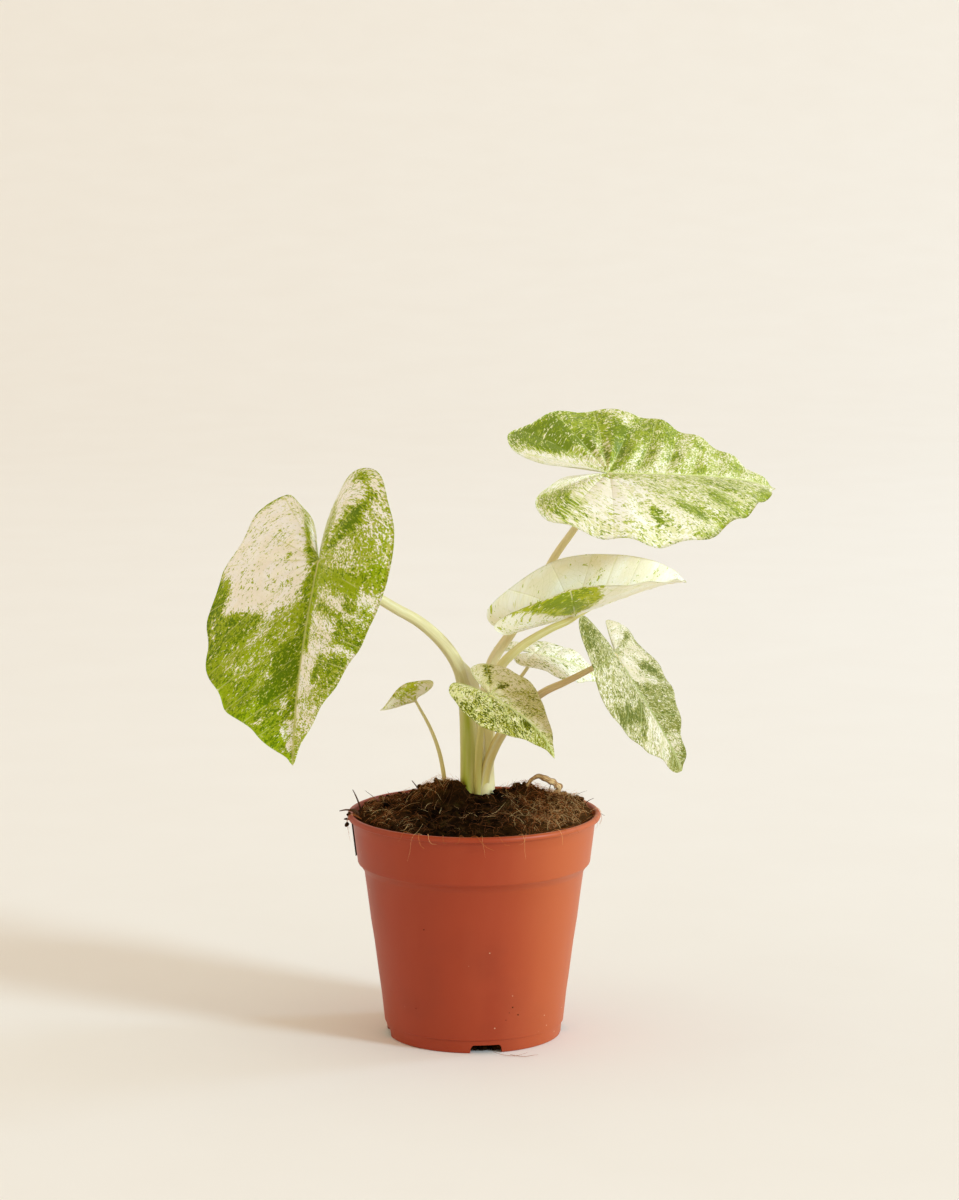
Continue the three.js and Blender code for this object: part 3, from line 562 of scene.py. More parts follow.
@dataclass(frozen=True)
class MouldedPolypropylene(Finish):
    """Injection-moulded polypropylene in terracotta: even and satin, with flow marks, dust, and painted light
    on its right side.
    """

    name: str = "terracotta_polypropylene"
    colour: str = "#9C3714"
    dusty: str = "#A94A28"
    dark: str = "#7C2A10"
    painted_light_tone: str = "#BC5E2C"
    dust: str = "#D9B08C"

    def build(self) -> bpy.types.Material:
        """Builds the material in the part's own coordinates.

        Returns:
            The material.
        """
        g = Graph(self.name)
        place = g.add("TexCoord").outputs["Object"]
        drawn = g.add("Mapping", {"Vector": place, "Scale": (1.0, 1.0, 0.18)})
        flow = g.add("TexNoise", {"Vector": drawn, "Scale": 1 / (14 * MM), "Detail": 4.0})
        smudge = g.add("TexNoise", {"Vector": place, "Scale": 1 / (30 * MM), "Detail": 3.0})
        grit = g.add("TexVoronoi", {"Vector": place, "Scale": 1 / (5 * MM), "Randomness": 1.0})
        mould = g.add("TexNoise", {"Vector": place, "Scale": 1 / (0.6 * MM), "Detail": 2.0})
        worn = g.add("MapRange", {"Value": flow, "From Min": 0.45, "From Max": 0.75, "To Max": 0.22})
        shade = g.add("MapRange", {"Value": smudge, "From Min": 0.5, "From Max": 0.75, "To Max": 0.3})
        # Painted light: the right side is lighter and more orange, as where the key light falls on it
        side = g.add("SeparateXYZ", {0: place}).outputs[0]
        painted_light = g.add("MapRange", {"Value": side, "From Min": 5 * MM, "From Max": 50 * MM, "To Max": 0.75},
                    interpolation_type="SMOOTHSTEP")
        # A grain of dust every 5 mm or so, and only where the second noise lets it settle
        grain = g.add("MapRange", {"Value": grit.outputs["Distance"], "From Min": 0.04, "From Max": 0.07,
                                   "To Min": 1.0, "To Max": 0.0})
        where = g.add("MapRange", {"Value": smudge, "From Min": 0.58, "From Max": 0.62})
        speck = g.add("Math", {0: grain, 1: where}, operation="MULTIPLY")
        colour = linear(self.colour)
        for amount, hue in ((worn, self.dusty), (shade, self.dark), (painted_light, self.painted_light_tone), (speck, self.dust)):
            colour = g.add("Mix", {0: amount, 6: colour, 7: linear(hue)}, data_type="RGBA")
        bump = g.add("Bump", {"Height": mould, "Strength": 0.12, "Distance": 0.05 * MM})
        rough = g.add("MapRange", {"Value": flow, "To Min": 0.36, "To Max": 0.52})
        return g.finish(
            Base_Color=colour, Roughness=rough, Normal=bump, IOR=1.49,
            Specular_IOR_Level=0.35, Subsurface_Weight=0.05, Subsurface_Scale=1.0 * MM,
            Subsurface_Radius=(1.0, 0.4, 0.2),
        )


@dataclass(frozen=True)
class MattFilm(Finish):
    """Printed-label film left plain: thin dark polymer, matt, and a little dusty."""

    name: str = "dark_label_film"
    colour: str = "#2B241F"
    dusty: str = "#4A3F36"

    def build(self) -> bpy.types.Material:
        """Builds the material in the part's own coordinates.

        Returns:
            The material.
        """
        g = Graph(self.name)
        place = g.add("TexCoord").outputs["Object"]
        scuffs = g.add("TexNoise", {"Vector": place, "Scale": 1 / (3 * MM), "Detail": 5.0})
        share = g.add("MapRange", {"Value": scuffs, "From Min": 0.45, "From Max": 0.7})
        colour = g.add("Mix", {0: share, 6: linear(self.colour), 7: linear(self.dusty)}, data_type="RGBA")
        bump = g.add("Bump", {"Height": scuffs, "Strength": 0.2, "Distance": 0.1 * MM})
        rough = g.add("MapRange", {"Value": scuffs, "To Min": 0.5, "To Max": 0.7})
        return g.finish(Base_Color=colour, Roughness=rough, Normal=bump, IOR=1.5)


@dataclass(frozen=True)
class MoistPeat(Finish):
    """Milled peat, kept moist: near black in the hollows, brown and fibrous where it dries."""

    name: str = "moist_peat"
    wet: str = "#0F0703"
    brown: str = "#483016"
    dry: str = "#8A4E20"
    moss: str = "#343212"
    fibre_mm: float = 1.0

    def build(self) -> bpy.types.Material:
        """Builds the material from the part's own coordinates and how dry each point is.

        Returns:
            The material.
        """
        g = Graph(self.name)
        place = g.add("TexCoord").outputs["Object"]
        dryness = g.add("Attribute", attribute_name="dry").outputs["Fac"]
        lumps = g.add("TexNoise", {"Vector": place, "Scale": 1 / (6 * MM), "Detail": 4.0})
        fibres = g.add("TexNoise", {"Vector": place, "Scale": 1 / (self.fibre_mm * MM), "Detail": 5.0,
                                    "Distortion": 2.5})
        share = g.add("Math", {0: lumps, 1: 0.9, 2: -0.35}, operation="MULTIPLY_ADD")
        share = g.add("Math", {0: share, 1: dryness}, operation="ADD", use_clamp=True)
        hair = g.add("MapRange", {"Value": fibres, "From Min": 0.52, "From Max": 0.72})
        lit = g.add("Math", {0: hair, 1: share}, operation="MULTIPLY", use_clamp=True)
        green = g.add("MapRange", {"Value": lumps, "From Min": 0.56, "From Max": 0.72, "To Max": 0.4})
        colour = linear(self.wet)
        for amount, hue in ((share, self.brown), (lit, self.dry), (green, self.moss)):
            colour = g.add("Mix", {0: amount, 6: colour, 7: linear(hue)}, data_type="RGBA")
        bump = g.add("Bump", {"Height": fibres, "Strength": 1.0, "Distance": 0.8 * MM})
        rough = g.add("MapRange", {"Value": lumps, "To Min": 0.75, "To Max": 1.0})
        return g.finish(Base_Color=colour, Roughness=rough, Normal=bump, IOR=1.35, Specular_IOR_Level=0.02)


@dataclass(frozen=True)
class CoirStrand(Finish):
    """Coir: stiff coconut-husk fibre, tan to rust red, dull, and darker where it is wet."""

    name: str = "coir_strand"
    dark: str = "#2E1D0A"
    rust: str = "#C87438"
    straw: str = "#FFDE9C"

    def build(self) -> bpy.types.Material:
        """Builds the material from each strand's own tint.

        Returns:
            The material.
        """
        g = Graph(self.name)
        tint = g.add("Attribute", attribute_name="tint").outputs["Fac"]
        place = g.add("TexCoord").outputs["Object"]
        wear = g.add("TexNoise", {"Vector": place, "Scale": 1 / (1.5 * MM), "Detail": 3.0})
        warm = g.add("MapRange", {"Value": tint, "From Max": 0.5})
        bright = g.add("MapRange", {"Value": tint, "From Min": 0.5})
        dull = g.add("MapRange", {"Value": wear, "From Min": 0.5, "From Max": 0.8, "To Max": 0.5})
        colour = linear(self.dark)
        for amount, hue in ((warm, self.rust), (bright, self.straw), (dull, self.dark)):
            colour = g.add("Mix", {0: amount, 6: colour, 7: linear(hue)}, data_type="RGBA")
        rough = g.add("MapRange", {"Value": wear, "To Min": 0.55, "To Max": 0.8})
        return g.finish(Base_Color=colour, Roughness=rough, IOR=1.5, Specular_IOR_Level=0.2)


@dataclass(frozen=True)
class DrySheath(Finish):
    """A shed leaf sheath, dried to a light brown paper with darker, ragged margins."""

    name: str = "dry_leaf_sheath"
    light: str = "#DDBC84"
    tan: str = "#9C6C38"
    brown: str = "#5C3A1C"

    def build(self) -> bpy.types.Material:
        """Builds the material with streaks that run along the shred.

        Returns:
            The material.
        """
        g = Graph(self.name)
        spot = g.add("SeparateXYZ", {0: g.add("Attribute", attribute_name="wrap").outputs["Vector"]})
        along = g.add("Math", {0: spot.outputs[0], 1: 0.25}, operation="MULTIPLY")
        lengthwise = g.add("CombineXYZ", {0: along, 1: spot.outputs[1]})
        streaks = g.add("TexNoise", {"Vector": lengthwise, "Scale": 1.4, "Detail": 4.0})
        share = g.add("MapRange", {"Value": streaks, "From Min": 0.44, "From Max": 0.6})
        colour = linear(self.light)
        for amount, hue in ((share, self.tan), (spot.outputs[2], self.brown)):
            colour = g.add("Mix", {0: amount, 6: colour, 7: linear(hue)}, data_type="RGBA")
        bump = g.add("Bump", {"Height": streaks, "Strength": 0.6, "Distance": 0.3 * MM})
        rough = g.add("MapRange", {"Value": streaks, "To Min": 0.6, "To Max": 0.85})
        return g.finish(
            Base_Color=colour, Roughness=rough, Normal=bump, IOR=1.45,
            Subsurface_Weight=0.2, Subsurface_Scale=1.0 * MM, Subsurface_Radius=(1.0, 0.7, 0.4),
        )


@dataclass(frozen=True)
class SeamlessPaper(Finish):
    """Studio background paper in warm cream: matt, with a tooth too fine to see."""

    name: str = "cream_background_paper"
    colour: str = "#F3EFE7"
    deeper: str = "#F0EBE2"

    def build(self) -> bpy.types.Material:
        """Builds the material in the sweep's own coordinates.

        Returns:
            The material.
        """
        g = Graph(self.name)
        place = g.add("TexCoord").outputs["Object"]
        tooth = g.add("TexNoise", {"Vector": place, "Scale": 12.0, "Detail": 3.0})
        colour = g.add("Mix", {0: tooth, 6: linear(self.colour), 7: linear(self.deeper)}, data_type="RGBA")
        return g.finish(Base_Color=colour, Roughness=0.9, IOR=1.4)


# Leaves


class Side(Enum):
    """The two halves of a blade, seen from the stalk towards the tip."""

    LEFT = 1
    RIGHT = -1


@dataclass(frozen=True)
class Patch:
    """A part of a blade with its own share of green.

    The corners are pairs: how far along the veins start, from -1 at the sinus over 0 at the stalk
    to 1 at the tip, and how far out along the vein, from 0 at the midrib to 1 at the margin.
    lacking is 0 for all green and 1 for all cream, and depth runs from yellow-green to deep green.
    """

    side: Side
    lacking: float
    depth: float
    corners: tuple[tuple[float, float], ...]


@dataclass(frozen=True)
class BladeHalf:
    """One half of a blade.

    width and lobe are millimetres, spread is how far out the lobe's end stands as a share of the
    width, fold and curl are degrees, and scallop is how far the margin waves out and in.
    """

    width: float
    lobe: float
    spread: float
    fold: float
    curl: float
    scallop: float = 0.0


@dataclass
class Leaf:
    """A heart-shaped blade: its place, its form, and how its green is spread.

    heading, pitch and roll turn it, in degrees. shoulder, taper and blunt set how wide it still is
    towards the tip. droop, sweep and twist bend the midrib down, aside and about itself up to the
    tip, and lobe_droop bends the back lobes. wave, quilt and pleat are heights of its relief.
    """

    name: str
    at: tuple[float, float, float]
    heading: float
    pitch: float
    roll: float
    length: float
    shoulder: float
    taper: float
    droop: float
    sweep: float
    twist: float
    lobe_droop: float
    left: BladeHalf
    right: BladeHalf
    midrib: float
    wave: float
    quilt: float
    veins: int
    lobe_veins: int
    slot: str = "leaf_green"
    lacking: float = 0.4
    depth: float = 0.5
    pleat: float = 0.0
    blunt: float = 0.14
    patches: tuple[Patch, ...] = ()
    vein_lean: float = 0.7
    vein_sunk: float = 0.28
    vein_rib: float = 0.35
    groove: float = 0.4
    half_thickness: float = 0.24
    seed: int = 12
    rows: int = 38
    steps: int = 10

    def half(self, side: Side) -> BladeHalf:
        """The sizes of that half."""
        return self.left if side is Side.LEFT else self.right

    def margin(self, side: Side) -> np.ndarray:
        """The outline of a half, from the stalk round the back lobe to the tip.

        Args:
            side: the half.

        Returns:
            Its points: along the midrib and away from it.
        """
        h, length = self.half(side), self.length
        shape = [
            (0, 0),
            (-0.35 * h.lobe, 0.06 * h.width),
            (-0.72 * h.lobe, (0.06 + 0.25 * h.spread) * h.width),
            (-0.97 * h.lobe, 0.8 * h.spread * h.width),
            (-0.93 * h.lobe, min(1, 1.25 * h.spread) * h.width),
            (-0.5 * h.lobe, (0.63 + 0.45 * h.spread) * h.width),
            (0.02 * length, h.width),
            (0.3 * length, self.shoulder * h.width),
            (0.58 * length, self.taper * h.width),
            (0.8 * length, 0.46 * self.taper * h.width),
            (0.93 * length, self.blunt * self.taper * h.width),
            (length, 0),
        ]
        outline = smooth_path(shape, 16)
        reach = reach_along(outline)
        ease = np.sin(np.pi * reach / reach[-1]) ** 0.5
        scallop = h.scallop * np.sin(2 * np.pi * reach / (0.27 * length) + 0.6)
        outline[:, 1] += scallop * ease * (outline[:, 1] > 2)
        return outline

    def vein_lines(self, side: Side) -> tuple[np.ndarray, np.ndarray, np.ndarray, np.ndarray]:
        """The lines from the midrib to the margin that the blade is woven on.

        Args:
            side: the half.

        Returns:
            For each line its place along the blade from -1 to 1, its foot on the midrib, its end
            on the margin, and whether it is a side vein.
        """
        margin = self.margin(side)
        lead = margin[:, 0] - self.vein_lean * margin[:, 1]
        last = int(np.nonzero(lead <= 0)[0].max())

        def on_margin(foot: float) -> np.ndarray:
            """Finds where the vein from a foot on the midrib meets the margin.

            Args:
                foot: its foot, along the midrib.

            Returns:
                The point on the margin.
            """
            i = min(int(np.nonzero(lead <= foot + 1e-9)[0].max()), len(margin) - 2)
            share = (foot - lead[i]) / (lead[i + 1] - lead[i])
            return margin[i] + (margin[i + 1] - margin[i]) * share

        lobe = np.vstack([margin[: last + 1], on_margin(0.0)])
        reach = reach_along(lobe)
        spans = self.lobe_veins + 1
        s, feet, ends, vein = [], [], [], []
        for k in range(spans * self.steps + 1):
            share = k / (spans * self.steps)
            s.append(share - 1)
            feet.append(0.0)
            ends.append([np.interp(share * reach[-1], reach, lobe[:, axis]) for axis in (0, 1)])
            vein.append(k % self.steps == 0 and k > 0)
        for k in range(1, self.veins * self.steps + 1):
            share = k / (self.veins * self.steps)
            s.append(share)
            feet.append(self.length * share)
            ends.append(on_margin(self.length * share) if share < 1 else margin[-1])
            vein.append(k % self.steps == 0 and share < 1)
        return np.array(s), np.array(feet), np.array(ends), np.array(vein)

    def midrib_frame(self, x: np.ndarray) -> tuple[np.ndarray, np.ndarray, np.ndarray]:
        """The midrib in space: point, direction across the blade and direction out of its upper face.

        Args:
            x: distances along the midrib, below 0 for the back lobes.

        Returns:
            The points and the two directions, one row for each distance.
        """
        lobe = max(self.left.lobe, self.right.lobe)
        heading, pitch, roll = np.radians([self.heading, self.pitch, self.roll])
        forward = np.array([math.cos(heading), math.sin(heading), 0])
        level = np.array([-math.sin(heading), math.cos(heading), 0])
        ahead = math.cos(pitch) * forward + np.array([0, 0, math.sin(pitch)])
        across = level * math.cos(roll) + np.cross(ahead, level) * math.sin(roll)
        basis = np.stack([ahead, across, np.cross(ahead, across)])
        table = np.concatenate([np.linspace(-lobe, 0, 60, endpoint=False), np.linspace(0, self.length, 180)])

        def local(at: np.ndarray) -> tuple[np.ndarray, np.ndarray, np.ndarray]:
            """Tangent, side and normal in the blade's own axes.

            Args:
                at: distances along the midrib.

            Returns:
                The three directions, one row for each distance.
            """
            share = np.clip(at / self.length, 0, None)
            bend = np.radians(self.droop) * share**2 + np.radians(self.lobe_droop) * np.minimum(0, at / lobe)
            turn = np.radians(self.sweep) * share**1.5
            lean = np.radians(self.twist) * share
            tangent = np.stack([np.cos(bend) * np.cos(turn), np.cos(bend) * np.sin(turn), -np.sin(bend)], 1)
            flat = np.stack([-np.sin(turn), np.cos(turn), np.zeros_like(turn)], 1)
            normal = np.cross(tangent, flat)
            side = flat * np.cos(lean)[:, None] + normal * np.sin(lean)[:, None]
            return tangent, side, np.cross(tangent, side)

        tangent = local(table)[0]
        steps = (tangent[1:] + tangent[:-1]) / 2 * np.diff(table)[:, None]
        path = np.vstack([np.zeros(3), np.cumsum(steps, axis=0)])
        path -= path[60]
        point = np.stack([np.interp(x, table, path[:, k]) for k in range(3)], 1)
        _, side, normal = local(x)
        return point @ basis + np.array(self.at), side @ basis, normal @ basis

    def surface(self, side: Side, x: np.ndarray, y: np.ndarray) -> tuple[np.ndarray, np.ndarray]:
        """Points of the folded and bent blade, and the directions out of its upper face there.

        Args:
            side: the half.
            x: distances along the midrib.
            y: distances from the midrib.

        Returns:
            The points and the unit normals.
        """
        half = self.half(side)
        point, across, normal = self.midrib_frame(x)
        fold = math.radians(half.fold)
        bend = math.radians(half.curl) * y / half.width
        safe = np.where(np.abs(bend) < 1e-6, 1.0, bend)
        chord = np.where(np.abs(bend) < 1e-6, y, 2 * y * np.sin(safe / 2) / safe)
        slope, tilt = fold - bend / 2, fold - bend
        sign = side.value
        where = point + across * (sign * chord * np.cos(slope))[:, None]
        where += normal * (chord * np.sin(slope))[:, None]
        out = normal * np.cos(tilt)[:, None] - across * (sign * np.sin(tilt))[:, None]
        return where, out

    def greenness(self, side: Side, s: np.ndarray, v: np.ndarray) -> tuple[np.ndarray, np.ndarray]:
        """How far each point lacks green, and how deep its green is.

        Args:
            side: the half.
            s: places along the blade, from -1 to 1.
            v: places out along the vein, from 0 to 1.

        Returns:
            Two arrays from 0 to 1.
        """
        lacking = np.full(s.shape, self.lacking)
        depth = np.full(s.shape, self.depth)
        scale = np.array([0.8 * self.length, self.half(side).width])
        soft = 0.028 * self.length + 0.4
        here = np.stack([s, v], 1) * scale
        reach = 0.09 * self.length + 1
        # Without a seed of its own the vector noise would start from the clock
        noise.seed_set(self.seed)
        warp = [noise.noise_vector(Vector((x / reach, y / reach, 5.0 * side.value))) for x, y in here]
        here = here + 0.03 * self.length * np.array(warp)[:, :2]
        for patch in self.patches:
            if patch.side is not side:
                continue
            corners = np.array(patch.corners) * scale
            inside = np.zeros(len(here), bool)
            nearest = np.full(len(here), np.inf)
            for a, b in zip(corners, np.roll(corners, -1, axis=0)):
                nearest = np.minimum(nearest, distance(here, a, b))
                if a[1] != b[1]:
                    across = a[0] + (here[:, 1] - a[1]) * (b[0] - a[0]) / (b[1] - a[1])
                    inside ^= ((a[1] > here[:, 1]) != (b[1] > here[:, 1])) & (here[:, 0] < across)
            share = smooth_step(-soft, soft, np.where(inside, nearest, -nearest))
            lacking += (patch.lacking - lacking) * share
            depth += (patch.depth - depth) * share
        return lacking, depth

    def half_grid(self, side: Side) -> dict[str, np.ndarray]:
        """What is known of the points of one half, line by line.

        Args:
            side: the half.

        Returns:
            By name: place along and out (s, v, x, y), vein number, and distances to vein, midrib and rim.
        """
        s, feet, ends, vein = self.vein_lines(side)
        v = np.linspace(0, 1, self.rows) ** 1.4
        x = feet[:, None] + (ends[:, 0] - feet)[:, None] * v
        y = ends[:, 1][:, None] * v
        flat = np.stack([x.ravel(), y.ravel()], 1)
        nearest = np.full(len(flat), FAR_MM)
        for foot, end in zip(feet[vein], ends[vein]):
            nearest = np.minimum(nearest, distance(flat, np.array([foot, 0.0]), end))
        rim = np.full(len(flat), FAR_MM)
        for margin in (self.margin(each) for each in Side):
            for a, b in zip(margin[:-1], margin[1:]):
                rim = np.minimum(rim, distance(flat, a, b))
        from_midrib = np.where(flat[:, 0] >= 0, flat[:, 1], np.hypot(flat[:, 0], flat[:, 1]))
        count = 2 * self.lobe_veins + 2
        index = np.where(s <= 0, (s + 1) * count - 1, count - 1 + s * 2 * self.veins)
        return {
            "s": np.repeat(s, self.rows), "v": np.tile(v, len(s)), "x": flat[:, 0], "y": flat[:, 1],
            "vein": nearest, "rim": rim, "midrib": from_midrib, "index": np.repeat(index, self.rows),
            "from_foot": np.hypot(flat[:, 0] - np.repeat(feet, self.rows), flat[:, 1]),
        }

    def relief(self, side: Side, g: dict[str, np.ndarray]) -> np.ndarray:
        """How far the middle of the blade stands off its smooth surface: pillows, waves and pleats.

        Args:
            side: the half.
            g: what half_grid says of its points.

        Returns:
            The heights in millimetres.
        """
        pillow = -0.5 * self.quilt * np.cos(np.pi * (g["index"] + 1)) * np.sin(np.pi * g["v"])
        wave = self.wave * g["v"] ** 2 * np.sin(1.9 * g["index"] + side.value)
        fade = np.exp(-(((g["v"] - 0.32) / 0.2) ** 2) - (g["s"] / 0.45) ** 2)
        pleat = self.pleat * fade * np.cos(np.pi * (g["index"] + 1)) * (1 if side is Side.LEFT else 0)
        return pillow + wave - pleat

    def skins(self, side: Side, g: dict[str, np.ndarray]) -> tuple[np.ndarray, np.ndarray]:
        """The upper and the lower skin of one half, with its midrib, its groove and its side veins.

        Args:
            side: the half.
            g: what half_grid says of its points.

        Returns:
            The points of the upper skin and of the lower one.
        """
        where, out = self.surface(side, g["x"], g["y"])
        upright = self.midrib_frame(g["x"])[2]
        out = upright + (out - upright) * smooth_step(0, 1.6, g["midrib"])[:, None]
        out /= np.linalg.norm(out, axis=1)[:, None]
        share = np.clip(g["x"] / self.length, 0, 1)
        beside = smooth_step(0, 1.0, g["midrib"])
        flesh = self.half_thickness * (0.35 + 0.65 * smooth_step(0, 1.2, g["rim"]))
        sunk = beside * self.vein_sunk * np.exp(-((g["vein"] / 0.55) ** 2)) * (1 - 0.6 * g["v"])
        rib = beside * self.vein_rib * (1 - g["v"]) * np.exp(-((g["vein"] / 0.6) ** 2))
        groove = self.groove * (1 - share) ** 0.5 * np.exp(-((g["midrib"] / 1.1) ** 2))
        keel = self.midrib * (1 - share) ** 0.8 * np.exp(-((g["midrib"] / 1.25) ** 2))
        lift = self.relief(side, g) * smooth_step(0, 2.5, g["midrib"])
        top = where + out * (lift + flesh - sunk - groove)[:, None]
        bottom = where + out * (lift - flesh - keel - rib)[:, None]
        return top, bottom

    def build(self, finish: VariegatedTissue) -> bpy.types.Object:
        """Builds the blade as a closed skin and dresses it.

        Args:
            finish: the leaf tissue.

        Returns:
            The piece.
        """
        shape = Shape()
        # Blades with different names cut their mottle from different places of the same noise
        seed = 4.0 * sum(ord(c) for c in self.name)
        for side in Side:
            g = self.half_grid(side)
            top, bottom = self.skins(side, g)
            lacking, depth = self.greenness(side, g["s"], g["v"])
            sign = side.value
            lean = np.where(g["s"] > 0, self.length * g["s"], 0.8 * self.length * g["s"] * g["v"])
            grain = np.stack([lean + seed, 0.7 * sign * g["from_foot"], np.full_like(lean, 7.0 * sign)], 1)
            nerves = np.stack([g["vein"], g["midrib"], g["rim"]], 1)
            quads = grid_faces(len(top) // self.rows, self.rows)
            edge = range(self.rows - 1, len(top), self.rows)
            high, low = shape.count, shape.count + len(top)
            walls = [(high + a, low + a, low + b, high + b) for a, b in zip(edge, edge[1:])]
            if side is Side.RIGHT:
                quads, walls = [[face[::-1] for face in faces] for faces in (quads, walls)]
            for skin, under, faces in ((top, 0.0, quads), (bottom, 1.0, [face[::-1] for face in quads])):
                tone = np.stack([lacking, depth, np.full_like(depth, under)], 1)
                shape.add(skin, faces, grain=grain, nerves=nerves, tone=tone)
            shape.faces.extend(walls)
        shape.weld()
        return shape.piece(f"leaf_{self.name}", finish.material(), self.slot, f"blade_{self.name}")


def spot(side: Side, s: float, v: float, reach: float, out: float, lacking: float, depth: float) -> Patch:
    """A round patch.

    Args:
        side: the half.
        s: its middle along the blade.
        v: its middle out along the vein.
        reach: its half length along the blade.
        out: its half length out along the vein.
        lacking: its lack of green.
        depth: how deep its green is.

    Returns:
        The patch.
    """
    turns = [2 * math.pi * k / 12 for k in range(12)]
    corners = tuple((s + reach * math.cos(a), v + out * math.sin(a)) for a in turns)
    return Patch(side, lacking, depth, corners)


# Stalks


@dataclass
class Stalk:
    """A petiole from the crown in the peat to its blade, channelled where it clasps the next one.

    crown, neck and tip are its radii at the peat, at the end of its sheath and at the blade. Angles
    run round it in degrees, from the back over the left. sheath is the channelled share of its
    length, flare how far the channel's lips stand out, clasp how far it swells round the next stalk
    up to clasp_top, flush how green its skin is round flush_at, and hidden the length in the midrib.
    """

    name: str
    path: tuple[tuple[float, float, float], ...]
    crown: float
    neck: float
    tip: float
    finish: FleshyStalk
    slot: str = "stalk"
    opens: float = 0.0
    sheath: float = 0.45
    flare: float = 0.18
    clasp: float = 0.0
    clasp_top: float = 45.0
    flush: float = 0.0
    flush_at: float = 180.0
    flush_width: float = 0.55
    hidden: float = 8.0
    steps: int = 110
    sides: int = 36

    def centre_line(self, leaf: Leaf) -> np.ndarray:
        """The curve from the crown up into the midrib of the blade.

        Args:
            leaf: the blade that it carries.

        Returns:
            Its points, one per row.
        """
        point, _, normal = leaf.midrib_frame(np.array([0.0, 3.0, self.hidden]))
        depths = np.array([self.tip + 0.15, self.tip * 0.85, self.tip * 0.35])
        end = point - normal * depths[:, None]
        return evenly_spaced(smooth_path([*self.path, *end], 14), self.steps)

    def girth(self, along: np.ndarray, share: np.ndarray) -> np.ndarray:
        """The radius, before channels and clasping edges.

        Args:
            along: distances from the crown.
            share: the same as a share of the length up to the blade.

        Returns:
            One radius for each.
        """
        radius = np.where(
            share < self.sheath,
            self.crown + (self.neck - self.crown) * share / self.sheath,
            self.neck + (self.tip - self.neck) * (share - self.sheath) / (1 - self.sheath),
        )
        return radius * (1 - 0.55 * smooth_step(along[-1] - self.hidden, along[-1], along))

    def build(self, leaf: Leaf) -> bpy.types.Object:
        """Builds the stalk up into the midrib of its blade.

        Args:
            leaf: the blade that it carries.

        Returns:
            The piece.
        """
        curve = self.centre_line(leaf)
        along = reach_along(curve)
        share = np.clip(along / (along[-1] - self.hidden), 0, 1)
        radius = self.girth(along, share)[:, None]
        angles = np.linspace(0, 2 * np.pi, self.sides, endpoint=False)
        off = apart(angles, self.opens)
        open_share = (1 - smooth_step(self.sheath * 0.9, self.sheath * 1.35, share))[:, None]
        ridge = np.exp(-(((off - 0.75) / 0.2) ** 2))
        channel = np.exp(-((off / 0.5) ** 2))
        shape_out = 1 + open_share * (self.flare * ridge - 0.22 * channel)
        grooved = 1 - 0.06 * (1 - open_share) * channel
        hold = (1 - smooth_step(self.clasp_top * 0.45, self.clasp_top, along))[:, None]
        radii = radius * shape_out * grooved + self.clasp * hold * np.exp(-((off / 0.75) ** 2))
        points, faces = tube(curve, radii, self.sides)
        rounds = (radius * np.cos(angles)).ravel(), (radius * np.sin(angles)).ravel()
        wrap = np.stack([*rounds, np.repeat(along, self.sides)], 1)
        # Lips that clasp the next stalk have no pale margin
        edge = np.zeros(len(points)) if self.clasp else (0.8 * open_share * ridge).ravel()
        fade = (1 - smooth_step(45, 80, along))[:, None]
        flushed = np.exp(-((apart(angles, self.flush_at) / self.flush_width) ** 2))
        shape = Shape()
        shape.add(points, faces, wrap=wrap, edge=edge, flush=(self.flush * fade * flushed).ravel())
        return shape.piece(f"petiole_{self.name}", self.finish.material(), self.slot, f"stalk_{self.name}")


@dataclass
class SheathWing:
    """The thin membrane that runs up the inner side of a stalk and ends free."""

    name: str
    node: str
    rows: tuple[tuple[tuple[float, float, float], tuple[float, float, float]], ...]
    finish: FleshyStalk
    thickness: float = 0.5
    ruffle: float = 0.35
    steps: int = 70
    across: int = 9

    def build(self) -> bpy.types.Object:
        """Builds the membrane as a closed skin, thickest beside the stalk.

        Returns:
            The piece.
        """
        inner = evenly_spaced(smooth_path([row[0] for row in self.rows], 12), self.steps)
        outer = evenly_spaced(smooth_path([row[1] for row in self.rows], 12), self.steps)
        u = np.linspace(0, 1, self.across)
        middle = inner[:, None, :] + (outer - inner)[:, None, :] * u[None, :, None]
        along = np.linspace(0, np.linalg.norm(np.diff(outer, axis=0), axis=1).sum(), self.steps)
        wave = self.ruffle * np.sin(along / 5.5)[:, None] * u[None, :] ** 2
        wave = wave - 0.9 * np.sin(np.pi * u)[None, :]
        middle[:, :, 1] += wave
        half = self.thickness / 2 * (1 - 0.75 * u**2)
        front, back = middle.copy(), middle.copy()
        front[:, :, 1] -= half[None, :]
        back[:, :, 1] += half[None, :]
        n, m = self.steps, self.across
        wrap = np.stack([np.tile(u * 6, n), np.zeros(n * m), np.repeat(along, m)], 1)
        edge = np.tile(0.25 + 0.75 * smooth_step(0.15, 0.9, u), n)
        shape = sheet(back, front, wrap=wrap, edge=edge)
        return shape.piece(self.name, self.finish.material(), "stalk", self.node)


# Pot


